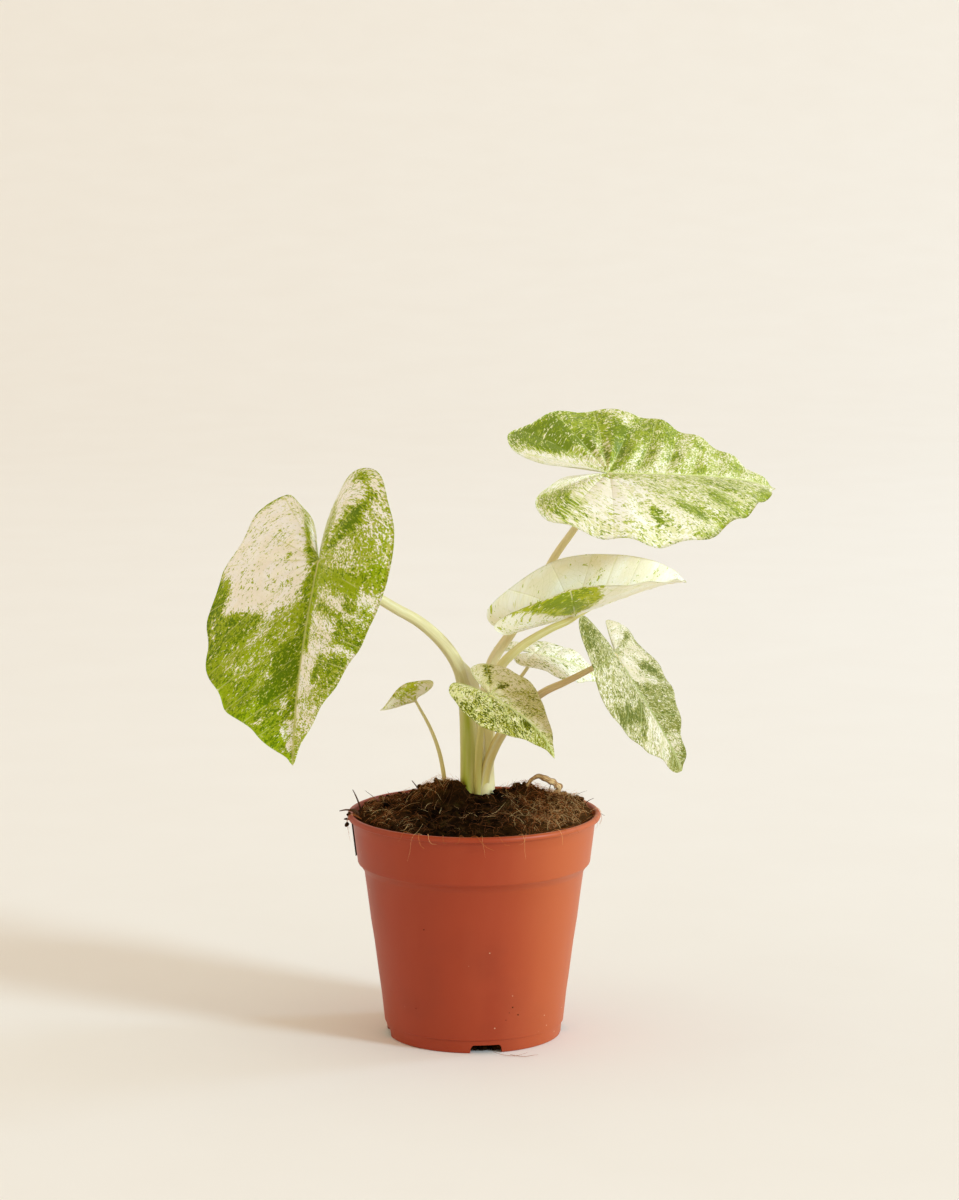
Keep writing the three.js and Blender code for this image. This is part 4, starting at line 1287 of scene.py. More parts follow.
@dataclass
class NurseryPot:
    """A 12 cm injection-moulded nursery pot with a beaded rim and drain channels under its base."""

    height: float = 107.0
    rim_radius: float = 60.0
    bead: float = 2.6
    collar_radius: float = 57.6
    collar_foot_radius: float = 55.2
    collar_foot: float = 83.6
    shoulder_radius: float = 52.2
    shoulder: float = 79.8
    waist_radius: float = 47.4
    waist: float = 45.0
    # Points of the wall and of the collar, as radius and height
    side: tuple[tuple[float, float], ...] = ((44.1, 20), (45.6, 31), (47.4, 45), (49.1, 56), (50.6, 68))
    collar: tuple[tuple[float, float], ...] = ((56.2, 92), (57.0, 98.5))
    foot_radius: float = 41.8
    band: float = 6.5
    wall: float = 1.3
    base: float = 1.6
    drains: int = 4
    first_drain: float = -82.0
    drain_width: float = 15.5
    drain_height: float = 4.0
    drain_from: float = 29.0
    sides: int = 192

    def profile(self) -> list[tuple[float, float]]:
        """The section from the middle of the base round the rim to the middle of the floor.

        Returns:
            Pairs of radius and height.
        """
        h, bead = self.height, self.height - self.bead
        r = self.rim_radius
        return [
            (0, 0), (self.foot_radius - 6, 0), (self.foot_radius - 1.15, 0), (self.foot_radius - 0.55, 0.25),
            (self.foot_radius - 0.35, 0.8), (self.foot_radius + 0.1, self.band - 0.35),
            (self.foot_radius + 0.35, self.band - 0.15), (self.foot_radius + 0.85, self.band),
            (self.foot_radius + 0.9, self.band + 0.5), *self.side,
            (self.shoulder_radius - 0.1, self.shoulder - 0.6),
            (self.shoulder_radius + 0.25, self.shoulder + 0.1),
            (self.collar_foot_radius - 0.9, self.collar_foot - 0.9),
            (self.collar_foot_radius - 0.25, self.collar_foot - 0.45),
            (self.collar_foot_radius, self.collar_foot + 0.1),
            (self.collar_foot_radius + 0.1, self.collar_foot + 1.0), *self.collar,
            (self.collar_radius - 0.05, bead - 0.9), (self.collar_radius + 0.4, bead - 0.35),
            (r - 0.75, bead - 0.12), (r - 0.3, bead + 0.1), (r - 0.04, bead + 0.6), (r, bead + 1.2),
            (r - 0.1, bead + 1.8), (r - 0.45, h - 0.32), (r - 0.9, h - 0.06), (r - 1.3, h),
            (r - 1.9, h - 0.05), (r - 2.35, h - 0.35), (r - 2.55, h - 0.9), (r - 2.8, h - 1.8),
            (self.collar_radius - self.wall, bead - 0.8),
            (self.collar_foot_radius - self.wall, self.collar_foot + 0.8),
            (self.shoulder_radius - self.wall, self.shoulder + 0.8),
            (self.waist_radius - self.wall, self.waist),
            (self.foot_radius - 0.7, self.band), (self.foot_radius - self.wall, self.base), (0, self.base),
        ]

    def wall_radius(self, height: float) -> float:
        """The outer radius of the wall between the foot band and the shoulder.

        Args:
            height: the height above the base.

        Returns:
            The radius.
        """
        radii = [self.foot_radius + 0.7, *(radius for radius, _ in self.side), self.shoulder_radius - 0.1]
        heights = [self.band, *(z for _, z in self.side), self.shoulder - 0.8]
        return float(np.interp(height, heights, radii))

    def cutter(self, angle: float) -> bpy.types.Object:
        """A drain channel's solid at that angle, with rounded upper corners.

        Args:
            angle: where the channel leaves the pot, in degrees.

        Returns:
            The solid, which is in no scene yet.
        """
        half, top, r = self.drain_width / 2, self.drain_height, 1.5
        section = [(-half, -1.0), (half, -1.0), (half - 0.5, top - r)]
        section += [(half - 0.7 - r + r * math.cos(a), top - r + r * math.sin(a))
                    for a in np.radians([15, 40, 65, 90])]
        section += [(-x, z) for x, z in section[:1:-1]]
        turn = math.radians(angle)
        shape = Shape()
        ring = []
        for reach in (self.drain_from, self.foot_radius + 5):
            ring += [(*turned(reach, x, turn), z) for x, z in section]
        n = len(section)
        faces = ring_faces(2, n) + [tuple(range(n))[::-1], tuple(n + k for k in range(n))]
        shape.add(np.array(ring), faces)
        mesh = bpy.data.meshes.new("cutter")
        mesh.from_pydata((np.vstack(shape.points) * MM).tolist(), [], shape.faces)
        return bpy.data.objects.new("cutter", mesh)

    def build(self, finish: MouldedPolypropylene) -> bpy.types.Object:
        """Turns the pot, cuts its drain channels and dresses it.

        Args:
            finish: its plastic.

        Returns:
            The piece.
        """
        profile = np.array(self.profile())
        angles = np.linspace(0, 2 * np.pi, self.sides, endpoint=False)
        shape = Shape()
        rows = [(radius * np.cos(angles), radius * np.sin(angles), np.full(self.sides, z))
                for radius, z in profile]
        shape.add(np.vstack([np.stack(row, 1) for row in rows]), ring_faces(len(profile), self.sides))
        shape.weld()
        pot = shape.piece("nursery_pot", finish.material(), "pot_plastic", "pot")
        scene = bpy.context.scene
        cutters = [self.cutter(self.first_drain + 360 / self.drains * i) for i in range(self.drains)]
        for cutter in cutters:
            scene.collection.objects.link(cutter)
            cut = pot.modifiers.new("drain", "BOOLEAN")
            cut.operation, cut.object, cut.solver = "DIFFERENCE", cutter, "EXACT"
        bpy.context.view_layer.update()
        cut_mesh = bpy.data.meshes.new_from_object(pot.evaluated_get(bpy.context.evaluated_depsgraph_get()))
        pot.modifiers.clear()
        pot.data = cut_mesh
        for cutter in cutters:
            bpy.data.objects.remove(cutter)
        cut_mesh.set_sharp_from_angle(angle=math.radians(38))
        return pot


@dataclass
class PlainLabel:
    """The blank film that is stuck round the back left of the collar."""

    pot: NurseryPot
    from_angle: float = 142.0
    to_angle: float = 179.0
    bottom: float = 85.0
    top: float = 103.0
    thickness: float = 0.35
    clear: float = 0.3

    def build(self, finish: MattFilm) -> bpy.types.Object:
        """Builds the film as a closed skin round the collar.

        Args:
            finish: its film.

        Returns:
            The piece.
        """
        angles = np.radians(np.linspace(self.from_angle, self.to_angle, 40))
        heights = np.linspace(self.bottom, self.top, 12)
        pot = self.pot
        slope = (heights - pot.collar_foot) / (pot.height - pot.bead - 0.8 - pot.collar_foot)
        radius = pot.collar_foot_radius + (pot.collar_radius - pot.collar_foot_radius) * slope + self.clear
        lift = np.exp(-((np.degrees(angles) - self.to_angle) / 3) ** 2) * 0.25
        skins = []
        for extra in (self.thickness, 0.0):
            r = radius[None, :] + extra + lift[:, None]
            skins.append(np.stack([r * np.cos(angles)[:, None], r * np.sin(angles)[:, None],
                                   np.broadcast_to(heights, r.shape)], 2))
        return sheet(*skins).piece("blank_label", finish.material(), "label_film", "label")


# Peat


@dataclass(frozen=True)
class Lump:
    """A rise in the peat: where it is, how wide and how high."""

    x: float
    y: float
    radius: float
    rise: float


@dataclass
class PeatBed:
    """Peat and coir in the pot: a rough dome with crumbs, fibres on it, and strands over the rim."""

    pot: NurseryPot
    edge: float = 104.6
    bottom: float = 5.8
    clear: float = 0.3
    dome: float = 6.4
    roughness: float = 0.9
    crumbs: int = 900
    fibres: int = 4600
    seed: int = 12
    lumps: tuple[Lump, ...] = (
        Lump(-13, -1, 7, 8.5), Lump(-23, 3, 7, 6), Lump(3, 4, 8, 3), Lump(25, 24, 8, 6),
        Lump(46, 9, 11, 5), Lump(-48, 4, 8, 3), Lump(-30, 22, 9, 2.5), Lump(8, -38, 12, 2),
        Lump(-7, -7, 4, 5.2), Lump(3, -12, 5, 3.6), Lump(11.5, -6, 3.6, 4.8),
    )
    # Strands over the rim: the angle where each crosses it, its drop outside and its drift in degrees
    hanging: tuple[tuple[float, float, float], ...] = (
        (-117, 13, -4), (-115.6, 6, 3), (-123, 4, -3), (-111, 3.5, 4), (-89, 6, 8), (-86.5, 9, 1.5),
        (-79, 4, 5), (-68, 11, 1.5), (-66, 4, -4), (-48.5, 7, 2), (-45, 3.5, 4), (-38, 3, 3), (-172, 9, 1),
        (-170, 12, 2), (-168, 6, -2), (-3, 5, -4), (4, 6, 3), (-18, 5, 2), (-12, 4, 3), (-104, 3, 2),
        (-96, 2.5, -3),
    )
    # Strands that fell beside the foot
    fallen: tuple[tuple[tuple[float, float, float], ...], ...] = (
        ((9, -42.4, 1.2), (14, -45.5, 0.5), (20, -46.6, 0.6), (25, -45.2, 1.6)),
        ((17, -44.5, 0.4), (23, -47.5, 0.4), (28, -47, 0.9), (30, -44.5, 0.5)),
    )
    # Splashes on the pot's wall: their angle, height and size
    splashes: tuple[tuple[float, float, float], ...] = (
        (-66, 22, 0.35), (-62, 18, 0.4), (-70, 16, 0.3), (-68, 19.5, 0.25), (-128, 20, 0.3), (-118, 60, 0.3),
    )
    # Twigs that stand in the peat: foot, tip and radius
    twigs: tuple[tuple[tuple[float, ...], tuple[float, ...], float], ...] = (
        ((-24, 4, 112), (-29.5, 6, 120.5), 0.45), ((-54, 5, 107), (-57.6, 4, 116.5), 0.5),
        ((-56.5, -7, 108), (-63.5, -8.5, 108.8), 0.6), ((-55, -6, 107), (-58.5, -8, 109.5), 0.9),
        ((52, 10, 107), (57, 8, 111.5), 0.25), ((36, 26, 109), (37, 27, 115), 0.3),
        ((-36, 4, 108), (-41, 2, 116), 0.18), ((-38, 0, 108), (-33, -3, 115), 0.16),
        ((-20, 8, 114), (-14, 6, 123), 0.2),
        ((50, 4, 108), (62, -1, 105), 0.2), ((44, 16, 108), (54, 14, 114), 0.14),
        ((-44, 10, 107), (-52, 14, 114), 0.2), ((14, -16, 109), (20, -20, 115), 0.18),
    )

    def height(self, x: float, y: float) -> float:
        """The height of the dome with its lumps at a place, as a cheap smooth function.

        Args:
            x: the place across.
            y: the place in depth.

        Returns:
            The height.
        """
        share = min(1.0, math.hypot(x, y) / self.pot.collar_radius)
        coarse = math.sin(0.31 * x + 1.3) * math.cos(0.27 * y - 0.4)
        medium = math.sin(0.71 * x - 0.52 * y) * math.cos(0.66 * y + 0.37 * x + 2)
        raised = self.dome * (1 - share**2) + self.roughness * (0.6 * coarse + 0.7 * medium)
        for lump in self.lumps:
            away = math.hypot(x - lump.x, y - lump.y) / lump.radius
            raised += lump.rise * math.exp(-0.5 * away**2)
        return self.edge + raised * min(1.0, (1 - share) * 12)

    def rough_height(self, x: float, y: float) -> float:
        """The height with the crumbly texture of milled peat.

        Args:
            x: the place across.
            y: the place in depth.

        Returns:
            The height.
        """
        share = min(1.0, math.hypot(x, y) / self.pot.collar_radius)
        fade = min(1.0, (1 - share) * 9)
        clods = noise.fractal(Vector((x / 4.2, y / 4.2, 3.1)), 0.9, 2.1, 4)
        grit = noise.noise(Vector((x / 0.9, y / 0.9, 9.4)))
        return self.height(x, y) + fade * (1.5 * clods + 0.45 * grit)

    def dryness(self, x: float, y: float) -> float:
        """How dry and fibrous the peat is at a place: coir shows towards the right and on the mound.

        Args:
            x: the place across.
            y: the place in depth.

        Returns:
            The dryness, up to 1.
        """
        right = 1 / (1 + math.exp(-(x - 26) / 7))
        left = 0.4 / (1 + math.exp((x + 36) / 6))
        mound = 1.2 * math.exp(-(((x + 17) / 11) ** 2) - ((y - 3) / 9) ** 2)
        return min(1.0, 0.85 * right + left + mound + 0.15 * noise.noise(Vector((x / 7, y / 7, 0.3))))

    def ground(self) -> Shape:
        """The body of the peat, closed, with its rough top.

        Returns:
            Its shape.
        """
        inside = self.pot.wall + self.clear
        top_radius = self.pot.collar_radius - inside
        rings, sides = 72, 220
        angles = np.linspace(0, 2 * np.pi, sides, endpoint=False)
        pot = self.pot
        walls = [
            (0, self.bottom), (pot.foot_radius - inside, self.bottom), (pot.waist_radius - inside, pot.waist),
            (pot.shoulder_radius - inside, pot.shoulder),
            (pot.collar_foot_radius - inside, pot.collar_foot + 1.0), (top_radius - 0.2, self.edge - 1.5),
        ]
        rows, dry = [], []
        for radius, z in walls:
            rows.append([(*turned(radius, 0, a), z) for a in angles])
            dry.append([0.1] * sides)
        for i in range(rings + 1):
            radius = top_radius * (1 - i / rings) ** 0.9
            ring = [turned(radius, 0, a) for a in angles]
            rows.append([(x, y, self.rough_height(x, y)) for x, y in ring])
            dry.append([self.dryness(x, y) for x, y in ring])
        shape = Shape()
        shape.add(np.array(rows).reshape(-1, 3), ring_faces(len(rows), sides), dry=np.array(dry).ravel())
        return shape

    def add_crumb(self, shape: Shape, rng: random.Random, place: tuple[float, ...], size: float) -> None:
        """Adds one crumb.

        Args:
            shape: what it is added to.
            rng: the source of its form.
            place: its middle.
            size: its radius.
        """
        ball, faces = BALL
        stretch = np.array([rng.uniform(0.7, 1.2), rng.uniform(0.6, 1.0), rng.uniform(0.5, 0.85)])
        shift = np.array([rng.uniform(-50, 50) for _ in range(3)])
        bumpy = np.array([1 + 0.45 * noise.noise(Vector(p * 1.3 + shift)) for p in ball])
        turn = rng.uniform(0, 2 * math.pi)
        cos, sin = math.cos(turn), math.sin(turn)
        points = ball * bumpy[:, None] * stretch * size
        points = points @ np.array([[cos, sin, 0], [-sin, cos, 0], [0, 0, 1]])
        dry = np.clip(self.dryness(place[0], place[1]) + rng.uniform(-0.25, 0.3), 0, 1)
        shape.add(points + np.array(place), faces, dry=np.full(len(points), dry))

    def build_ground(self, finish: MoistPeat) -> bpy.types.Object:
        """Builds the peat with its crumbs.

        Args:
            finish: its peat.

        Returns:
            The piece.
        """
        rng = random.Random(self.seed)
        shape = self.ground()
        for _ in range(self.crumbs):
            reach = (self.pot.collar_radius - 4.5) * math.sqrt(rng.random())
            x, y = turned(reach, 0, rng.uniform(0, 2 * math.pi))
            size = 0.35 + 1.5 * rng.random() ** 3
            self.add_crumb(shape, rng, (x, y, self.rough_height(x, y) + 0.25 * size), size)
        for angle, drop in ((-172, 0), (-171, 2.5), (-174, 1.2), (-169, 4.5), (-172.5, 6)):
            reach = self.pot.rim_radius + (0.9 if drop > 1.5 else -0.6)
            place = (*turned(reach, 0, math.radians(angle)), self.pot.height + 0.7 - drop)
            self.add_crumb(shape, rng, place, 1.1)
        self.add_drain_shade_and_splashes(shape, rng)
        return shape.piece("peat", finish.material(), "peat", "soil")

    def add_drain_shade_and_splashes(self, shape: Shape, rng: random.Random) -> None:
        """Adds dark peat crumbs in the drain channels as painted shade, and the splashes that dried on the
        wall.

        Args:
            shape: what it is added to.
            rng: the source of its form.
        """
        pot = self.pot
        # Dark crumbs fill each drain channel: painted shade for the dark inside of the opening
        for drain in range(pot.drains):
            turn = math.radians(pot.first_drain + 360 / pot.drains * drain)
            for row, depth in enumerate((31.5, 34.5, 37.0)):
                for step in range(6):
                    aside = -5.6 + 2.24 * step + 0.5 * row
                    size = rng.uniform(1.5, 1.9)
                    self.add_crumb(shape, rng, (*turned(depth, aside, turn), 1.75), size)
        for angle, height, size in self.splashes:
            x, y = turned(pot.wall_radius(height), 0, math.radians(angle))
            self.add_crumb(shape, rng, (x, y, height), size)

    def strand(self, shape: Shape, points: list, radius: float, tint: float, steps: int = 5) -> None:
        """Adds a strand.

        Args:
            shape: what it is added to.
            points: where it runs.
            radius: its thickness at the root.
            tint: 0 for dark, 0.5 for rust and 1 for straw.
            steps: how finely it bends.
        """
        curve = smooth_path(points, steps)
        radii = radius * (1 - 0.65 * np.linspace(0, 1, len(curve)) ** 2)
        ring, faces = tube(curve, radii, 3 if steps == 2 else 5)
        shape.add(ring, faces, tint=np.full(len(ring), tint))

    def add_fibre(self, shape: Shape, rng: random.Random) -> None:
        """Adds a loose fibre somewhere on the peat, more often where it is dry.

        Args:
            shape: what it is added to.
            rng: the source of its place, form and tint.
        """
        reach = (self.pot.collar_radius - 5) * math.sqrt(rng.random())
        x, y = turned(reach, 0, rng.uniform(0, 2 * math.pi))
        dry = self.dryness(x, y)
        if rng.random() > 0.16 + 1.15 * dry:
            return
        length, heading = rng.uniform(2, 6) + 9 * rng.random() ** 6, rng.uniform(0, 2 * math.pi)
        bow, lift = rng.uniform(-1.1, 1.1), rng.uniform(0.1, 1.2) + 2.2 * rng.random() ** 5
        points = []
        for share in (-0.5, -0.2, 0.15, 0.5):
            dx, dy = turned(length * share, bow * math.cos(math.pi * share), heading)
            px, py = x + dx, y + dy
            # One end is stuck in the peat
            over = -0.6 if share == -0.5 else 0.3 + lift * (0.5 + share)
            kept_in = min(1.0, (self.pot.collar_radius - 2.2) / math.hypot(px, py))
            px, py = px * kept_in, py * kept_in
            points.append((px, py, self.height(px, py) + 0.8 + over))
        if rng.random() < 0.06 + 0.42 * dry:
            tint = rng.uniform(0.7, 1.0)
        else:
            tint = 0.04 + 0.6 * dry * rng.uniform(0.4, 1.4) + rng.uniform(0, 0.16)
        thick = 0.032 + 0.05 * rng.random() ** 2
        self.strand(shape, points, thick, min(1.0, tint), 2)

    def build_fibres(self, finish: CoirStrand) -> bpy.types.Object:
        """Builds the fibres on the peat, the twigs, and the strands over the rim.

        Args:
            finish: their coir.

        Returns:
            The piece.
        """
        rng = random.Random(self.seed + 1)
        shape = Shape()
        for _ in range(self.fibres):
            self.add_fibre(shape, rng)
        for foot, tip, radius in self.twigs:
            foot, tip = np.array(foot, float), np.array(tip, float)
            middle = (foot + tip) / 2 + np.array([0, 0, 0.8])
            self.strand(shape, [foot - np.array([0, 0, 2]), foot, middle, tip], radius, 0.05)
        for angle, drop, drift in self.hanging:
            path = self.over_rim(angle, drop, drift)
            self.strand(shape, path, rng.uniform(0.05, 0.12), rng.uniform(0.2, 0.8))
        for path in self.fallen:
            self.strand(shape, list(path), 0.1, 0.3)
        return shape.piece("coir_strands", finish.material(), "peat", "soil")

    def over_rim(self, angle: float, drop: float, drift: float) -> list[tuple[float, float, float]]:
        """The path of a strand over the rim.

        Args:
            angle: where it crosses the rim, in degrees.
            drop: how far it hangs below the rim.
            drift: how far it turns aside on the way down, in degrees.

        Returns:
            Its points.
        """
        pot = self.pot
        outside = pot.rim_radius + 0.55
        stops = [
            (pot.rim_radius - 7, self.edge + 0.2, -0.5 * drift),
            (pot.rim_radius - 3, pot.height + 0.2, -0.2 * drift),
            (pot.rim_radius - 0.9, pot.height + 0.55, 0.05 * drift),
            (outside, pot.height - 1.6, 0.25 * drift),
            (outside - 0.2, pot.height - 0.5 * drop - 1.5, 0.6 * drift),
            (outside - 0.9, pot.height - drop, drift),
        ]
        path = []
        for step, (radius, z, turn) in enumerate(stops):
            crossing = math.radians(angle + turn + 0.15 * math.sin(7 * angle + 2.4 * step))
            path.append((*turned(radius, 0, crossing), z))
        return path


def icosphere(rounds: int) -> tuple[np.ndarray, list[tuple[int, int, int]]]:
    """A unit ball of triangles.

    Args:
        rounds: how often the twenty faces are divided.

    Returns:
        Its points and faces.
    """
    g = (1 + 5**0.5) / 2
    points = [(-1, g, 0), (1, g, 0), (-1, -g, 0), (1, -g, 0), (0, -1, g), (0, 1, g), (0, -1, -g), (0, 1, -g),
              (g, 0, -1), (g, 0, 1), (-g, 0, -1), (-g, 0, 1)]
    faces = [(0, 11, 5), (0, 5, 1), (0, 1, 7), (0, 7, 10), (0, 10, 11), (1, 5, 9), (5, 11, 4), (11, 10, 2),
             (10, 7, 6), (7, 1, 8), (3, 9, 4), (3, 4, 2), (3, 2, 6), (3, 6, 8), (3, 8, 9), (4, 9, 5),
             (2, 4, 11), (6, 2, 10), (8, 6, 7), (9, 8, 1)]
    points = [np.array(p, float) / np.linalg.norm(p) for p in points]
    for _ in range(rounds):
        seen: dict[tuple[int, int], int] = {}
        finer = []
        for face in faces:
            middles = []
            for a, b in ((face[0], face[1]), (face[1], face[2]), (face[2], face[0])):
                key = (min(a, b), max(a, b))
                if key not in seen:
                    middle = points[a] + points[b]
                    seen[key] = len(points)
                    points.append(middle / np.linalg.norm(middle))
                middles.append(seen[key])
            a, b, c = face
            x, y, z = middles
            finer += [(a, x, z), (b, y, x), (c, z, y), (x, y, z)]
        faces = finer
    return np.array(points), faces


BALL = icosphere(1)


@dataclass
class DryShred:
    """A dried, curled shred of an old sheath that arches out of the peat."""

    path: tuple[tuple[float, float, float], ...] = (
        (24.5, 19, 111), (25.6, 19.5, 115.5), (28.6, 20, 118.8), (31, 20, 119.8), (35, 20, 118.4),
        (38, 20.2, 117), (40.8, 20.5, 114.6), (40.6, 21, 111.5), (39.5, 21.2, 108.5),
    )
    length: float = 34.0
    width: float = 3.6
    thickness: float = 0.5

    def build(self, finish: DrySheath) -> bpy.types.Object:
        """Builds the shred as a closed strip with rolled, ragged edges.

        Args:
            finish: its tissue.

        Returns:
            The piece.
        """
        curve = evenly_spaced(smooth_path(list(self.path), 16), 64)
        tangent = np.gradient(curve, axis=0)
        tangent /= np.linalg.norm(tangent, axis=1)[:, None]
        out = np.stack([-tangent[:, 2], np.zeros(len(curve)), tangent[:, 0]], 1)
        out /= np.linalg.norm(out, axis=1)[:, None]
        share = np.linspace(0, 1, len(curve))
        level = np.array([0.0, 1.0, 0.0])
        roll_over = np.radians(68 + 20 * np.sin(7 * share))[:, None]
        across = np.cos(roll_over) * level + np.sin(roll_over) * out
        out = np.cos(roll_over) * out - np.sin(roll_over) * level
        full = 0.5 + 0.65 * smooth_step(0.25, 0.75, share) - 0.35 * smooth_step(0.8, 1.0, share)
        u = np.linspace(-1, 1, 11)
        n, m = len(curve), len(u)
        skins = []
        for lift in (self.thickness / 2, -self.thickness / 2):
            tear = 0.08 + 0.3 * smooth_step(0.5, 0.9, share)[:, None]
            ragged = full[:, None] * (1 + tear * np.sin(47 * share[:, None] + 2 * np.sign(u)[None, :]))
            reach = self.width / 2 * ragged * u[None, :]
            roll = -(0.5 + 0.3 * np.sin(9 * share[:, None] + u[None, :])) * u[None, :] ** 2
            thin = lift * (1 - 0.6 * u[None, :] ** 2) + roll
            skin = curve[:, None, :] + out[:, None, :] * thin[:, :, None]
            skins.append(skin + across[:, None, :] * reach[:, :, None])
        along = np.repeat(share * self.length, m)
        frayed = np.tile(smooth_step(0.45, 0.95, np.abs(u)) * 0.8, n)
        wrap = np.stack([along, np.tile(u * self.width / 2, n), frayed], 1)
        shape = sheet(*skins, wrap=wrap)
        return shape.piece("dry_sheath_shred", finish.material(), "dry_sheath", "dry_shred")


# Studio


@dataclass
class Studio:
    """A seamless paper sweep, a soft key from the right front, a fill from all sides, and the camera."""

    width: float = 12.0
    front: float = -4.0
    back: float = 2.5
    curve: float = 6.0
    top: float = 8.5
    key_power: float = 630.0
    key_colour: tuple[float, float, float] = (0.6, 0.82, 1.0)
    key_size: float = 2.1
    key_distance: float = 9.0
    key_azimuth: float = -31.5
    key_elevation: float = 20.0
    key_target: tuple[float, float, float] = (0.0, 0.0, 0.13)
    back_target: tuple[float, float, float] = (1.4, 3.4, 0.3)
    back_place: tuple[float, float, float] = (3.2, 1.0, 1.7)
    back_size: float = 1.5
    back_power: float = 56.0
    back_colour: tuple[float, float, float] = (0.42, 0.68, 1.0)
    fill: float = 0.685
    sides_share: float = 0.72
    fill_lean: tuple[float, float, float] = (0.04, -0.05, -0.1)
    fill_colour: tuple[float, float, float, float] = (1.0, 0.86, 0.695, 1.0)
    lens_mm: float = 109.74
    lens_shift: float = 0.0046
    camera_place: tuple[float, float, float] = (0.0, -1.7, 0.467)
    camera_pitch: float = 81.345

    def sweep(self, finish: SeamlessPaper) -> bpy.types.Object:
        """The paper: flat floor, a bend, and a wall.

        Args:
            finish: its paper.

        Returns:
            The stage piece.
        """
        section = [(self.front, 0.0), (0.0, 0.0), (self.back, 0.0)]
        for step in range(1, 25):
            a = math.pi / 2 * step / 24
            section.append((self.back + self.curve * math.sin(a), self.curve * (1 - math.cos(a))))
        section.append((self.back + self.curve, self.top))
        half = self.width / 2
        points = [(x, y, z) for y, z in section for x in (-half, half)]
        faces = [(2 * i, 2 * i + 1, 2 * i + 3, 2 * i + 2) for i in range(len(section) - 1)]
        mesh = bpy.data.meshes.new("paper_sweep")
        mesh.from_pydata(points, [], faces)
        mesh.polygons.foreach_set("use_smooth", [True] * len(faces))
        mesh.materials.append(finish.material())
        sweep = bpy.data.objects.new("paper_sweep", mesh)
        bpy.context.scene.collection.objects.link(sweep)
        return sweep

    def lamp(
        self, name: str, target: Vector, place: Vector, size: float, power: float, colour: tuple
    ) -> None:
        """Hangs a round soft box.

        Args:
            name: its name.
            target: what it faces.
            place: where it hangs.
            size: its diameter.
            power: its power in watts.
            colour: its linear colour.
        """
        lamp = bpy.data.lights.new(name, "AREA")
        lamp.shape, lamp.size, lamp.energy, lamp.color = "DISK", size, power, colour
        box = bpy.data.objects.new(name, lamp)
        box.location = place
        box.rotation_euler = (place - target).to_track_quat("Z", "Y").to_euler()
        bpy.context.scene.collection.objects.link(box)

    def lights(self) -> None:
        """The key light, a weak light on the paper behind on the right, and the fill."""
        turn, rise = math.radians(self.key_azimuth), math.radians(self.key_elevation)
        towards = Vector((math.cos(rise) * math.cos(turn), math.cos(rise) * math.sin(turn), math.sin(rise)))
        target = Vector(self.key_target)
        place = target + towards * self.key_distance
        self.lamp("key", target, place, self.key_size, self.key_power, self.key_colour)
        target, place = Vector(self.back_target), Vector(self.back_place)
        self.lamp("background_light", target, place, self.back_size, self.back_power, self.back_colour)
        world = bpy.data.worlds.new("fill")
        world.use_nodes = True
        background = world.node_tree.nodes["Background"]
        background.inputs[0].default_value = self.fill_colour
        g = Nodes(world.node_tree)
        g.feed(background.inputs[1], self.uneven(g))
        bpy.context.scene.world = world

    def uneven(self, g: Nodes) -> bpy.types.Node:
        """The fill's strength: more from the two sides than from the dark room behind the camera.

        Args:
            g: the world's nodes.

        Returns:
            The node with the strength.
        """
        heading = g.add("TexCoord").outputs["Generated"]
        square = g.add("VectorMath", {0: heading, 1: heading}, operation="MULTIPLY")
        sides = g.add("VectorMath", {0: square, 1: (self.sides_share, 0.0, 0.0)}, operation="DOT_PRODUCT")
        lean = g.add("VectorMath", {0: heading, 1: self.fill_lean}, operation="DOT_PRODUCT")
        total = g.add("Math", {0: sides, 1: lean}, operation="ADD")
        return g.add("Math", {0: total, 1: self.fill}, operation="ADD")

    def camera(self) -> None:
        """A long lens above the plant that looks a little down on it, as in the photo."""
        lens = bpy.data.cameras.new("camera")
        lens.lens, lens.shift_x = self.lens_mm, self.lens_shift
        lens.dof.use_dof = False
        camera = bpy.data.objects.new("camera", lens)
        camera.location = self.camera_place
        camera.rotation_euler = (math.radians(self.camera_pitch), 0.0, 0.0)
        bpy.context.scene.collection.objects.link(camera)
        bpy.context.scene.camera = camera

    def build(self) -> None:
        """Sets up the paper, the light and the camera."""
        self.sweep(SeamlessPaper())
        self.lights()
        self.camera()
        bpy.context.scene.view_settings.view_transform = "Standard"


# The plant

LEAF = VariegatedTissue()
GLOSSY_LEAF = VariegatedTissue(
    name="glossy_aroid_leaf", cream="#EEE6D6", warm_cream="#E8DEC6",
    green="#95A222", deep_green="#6A7C12", light_green="#B9BC60", pale_green="#D5D09A",
    outer_turn=0.6, shine=0.35, smooth=0.22,
)
MOTTLED_LEAF = VariegatedTissue(
    name="mottled_aroid_leaf", cream="#E0D6C2", warm_cream="#D6CAAC", green="#80803A", deep_green="#5A6220",
    light_green="#9D9A5A", pale_green="#BAB680", vein="#A8AC6C", coarse_mm=6.0, middle_mm=1.8, fine_mm=0.65,
    outer_turn=0.5,
)
SPECKLED_LEAF = VariegatedTissue(
    name="speckled_aroid_leaf", cream="#EEE5C6", warm_cream="#E0D6A6", green="#7E7E0C", deep_green="#4C5208",
    light_green="#B8B450", pale_green="#D2CE84", coarse_mm=5.0, middle_mm=1.6, fine_mm=0.6, outer_turn=0.5,
)
# Its creams are whiter than the tissue is, as painted light on these thin blades
YOUNG_LEAF = VariegatedTissue(
    name="pale_aroid_leaf", cream="#FBF6E6", warm_cream="#F7EFD6", green="#B4BA16", deep_green="#809402",
    light_green="#BCC24E", pale_green="#E6E2AE", vein="#E8E4B8", underside="#CDCD80",
    coarse_mm=7.0, middle_mm=2.2, fine_mm=0.9, glow=0.35, under_share=0.06,
)
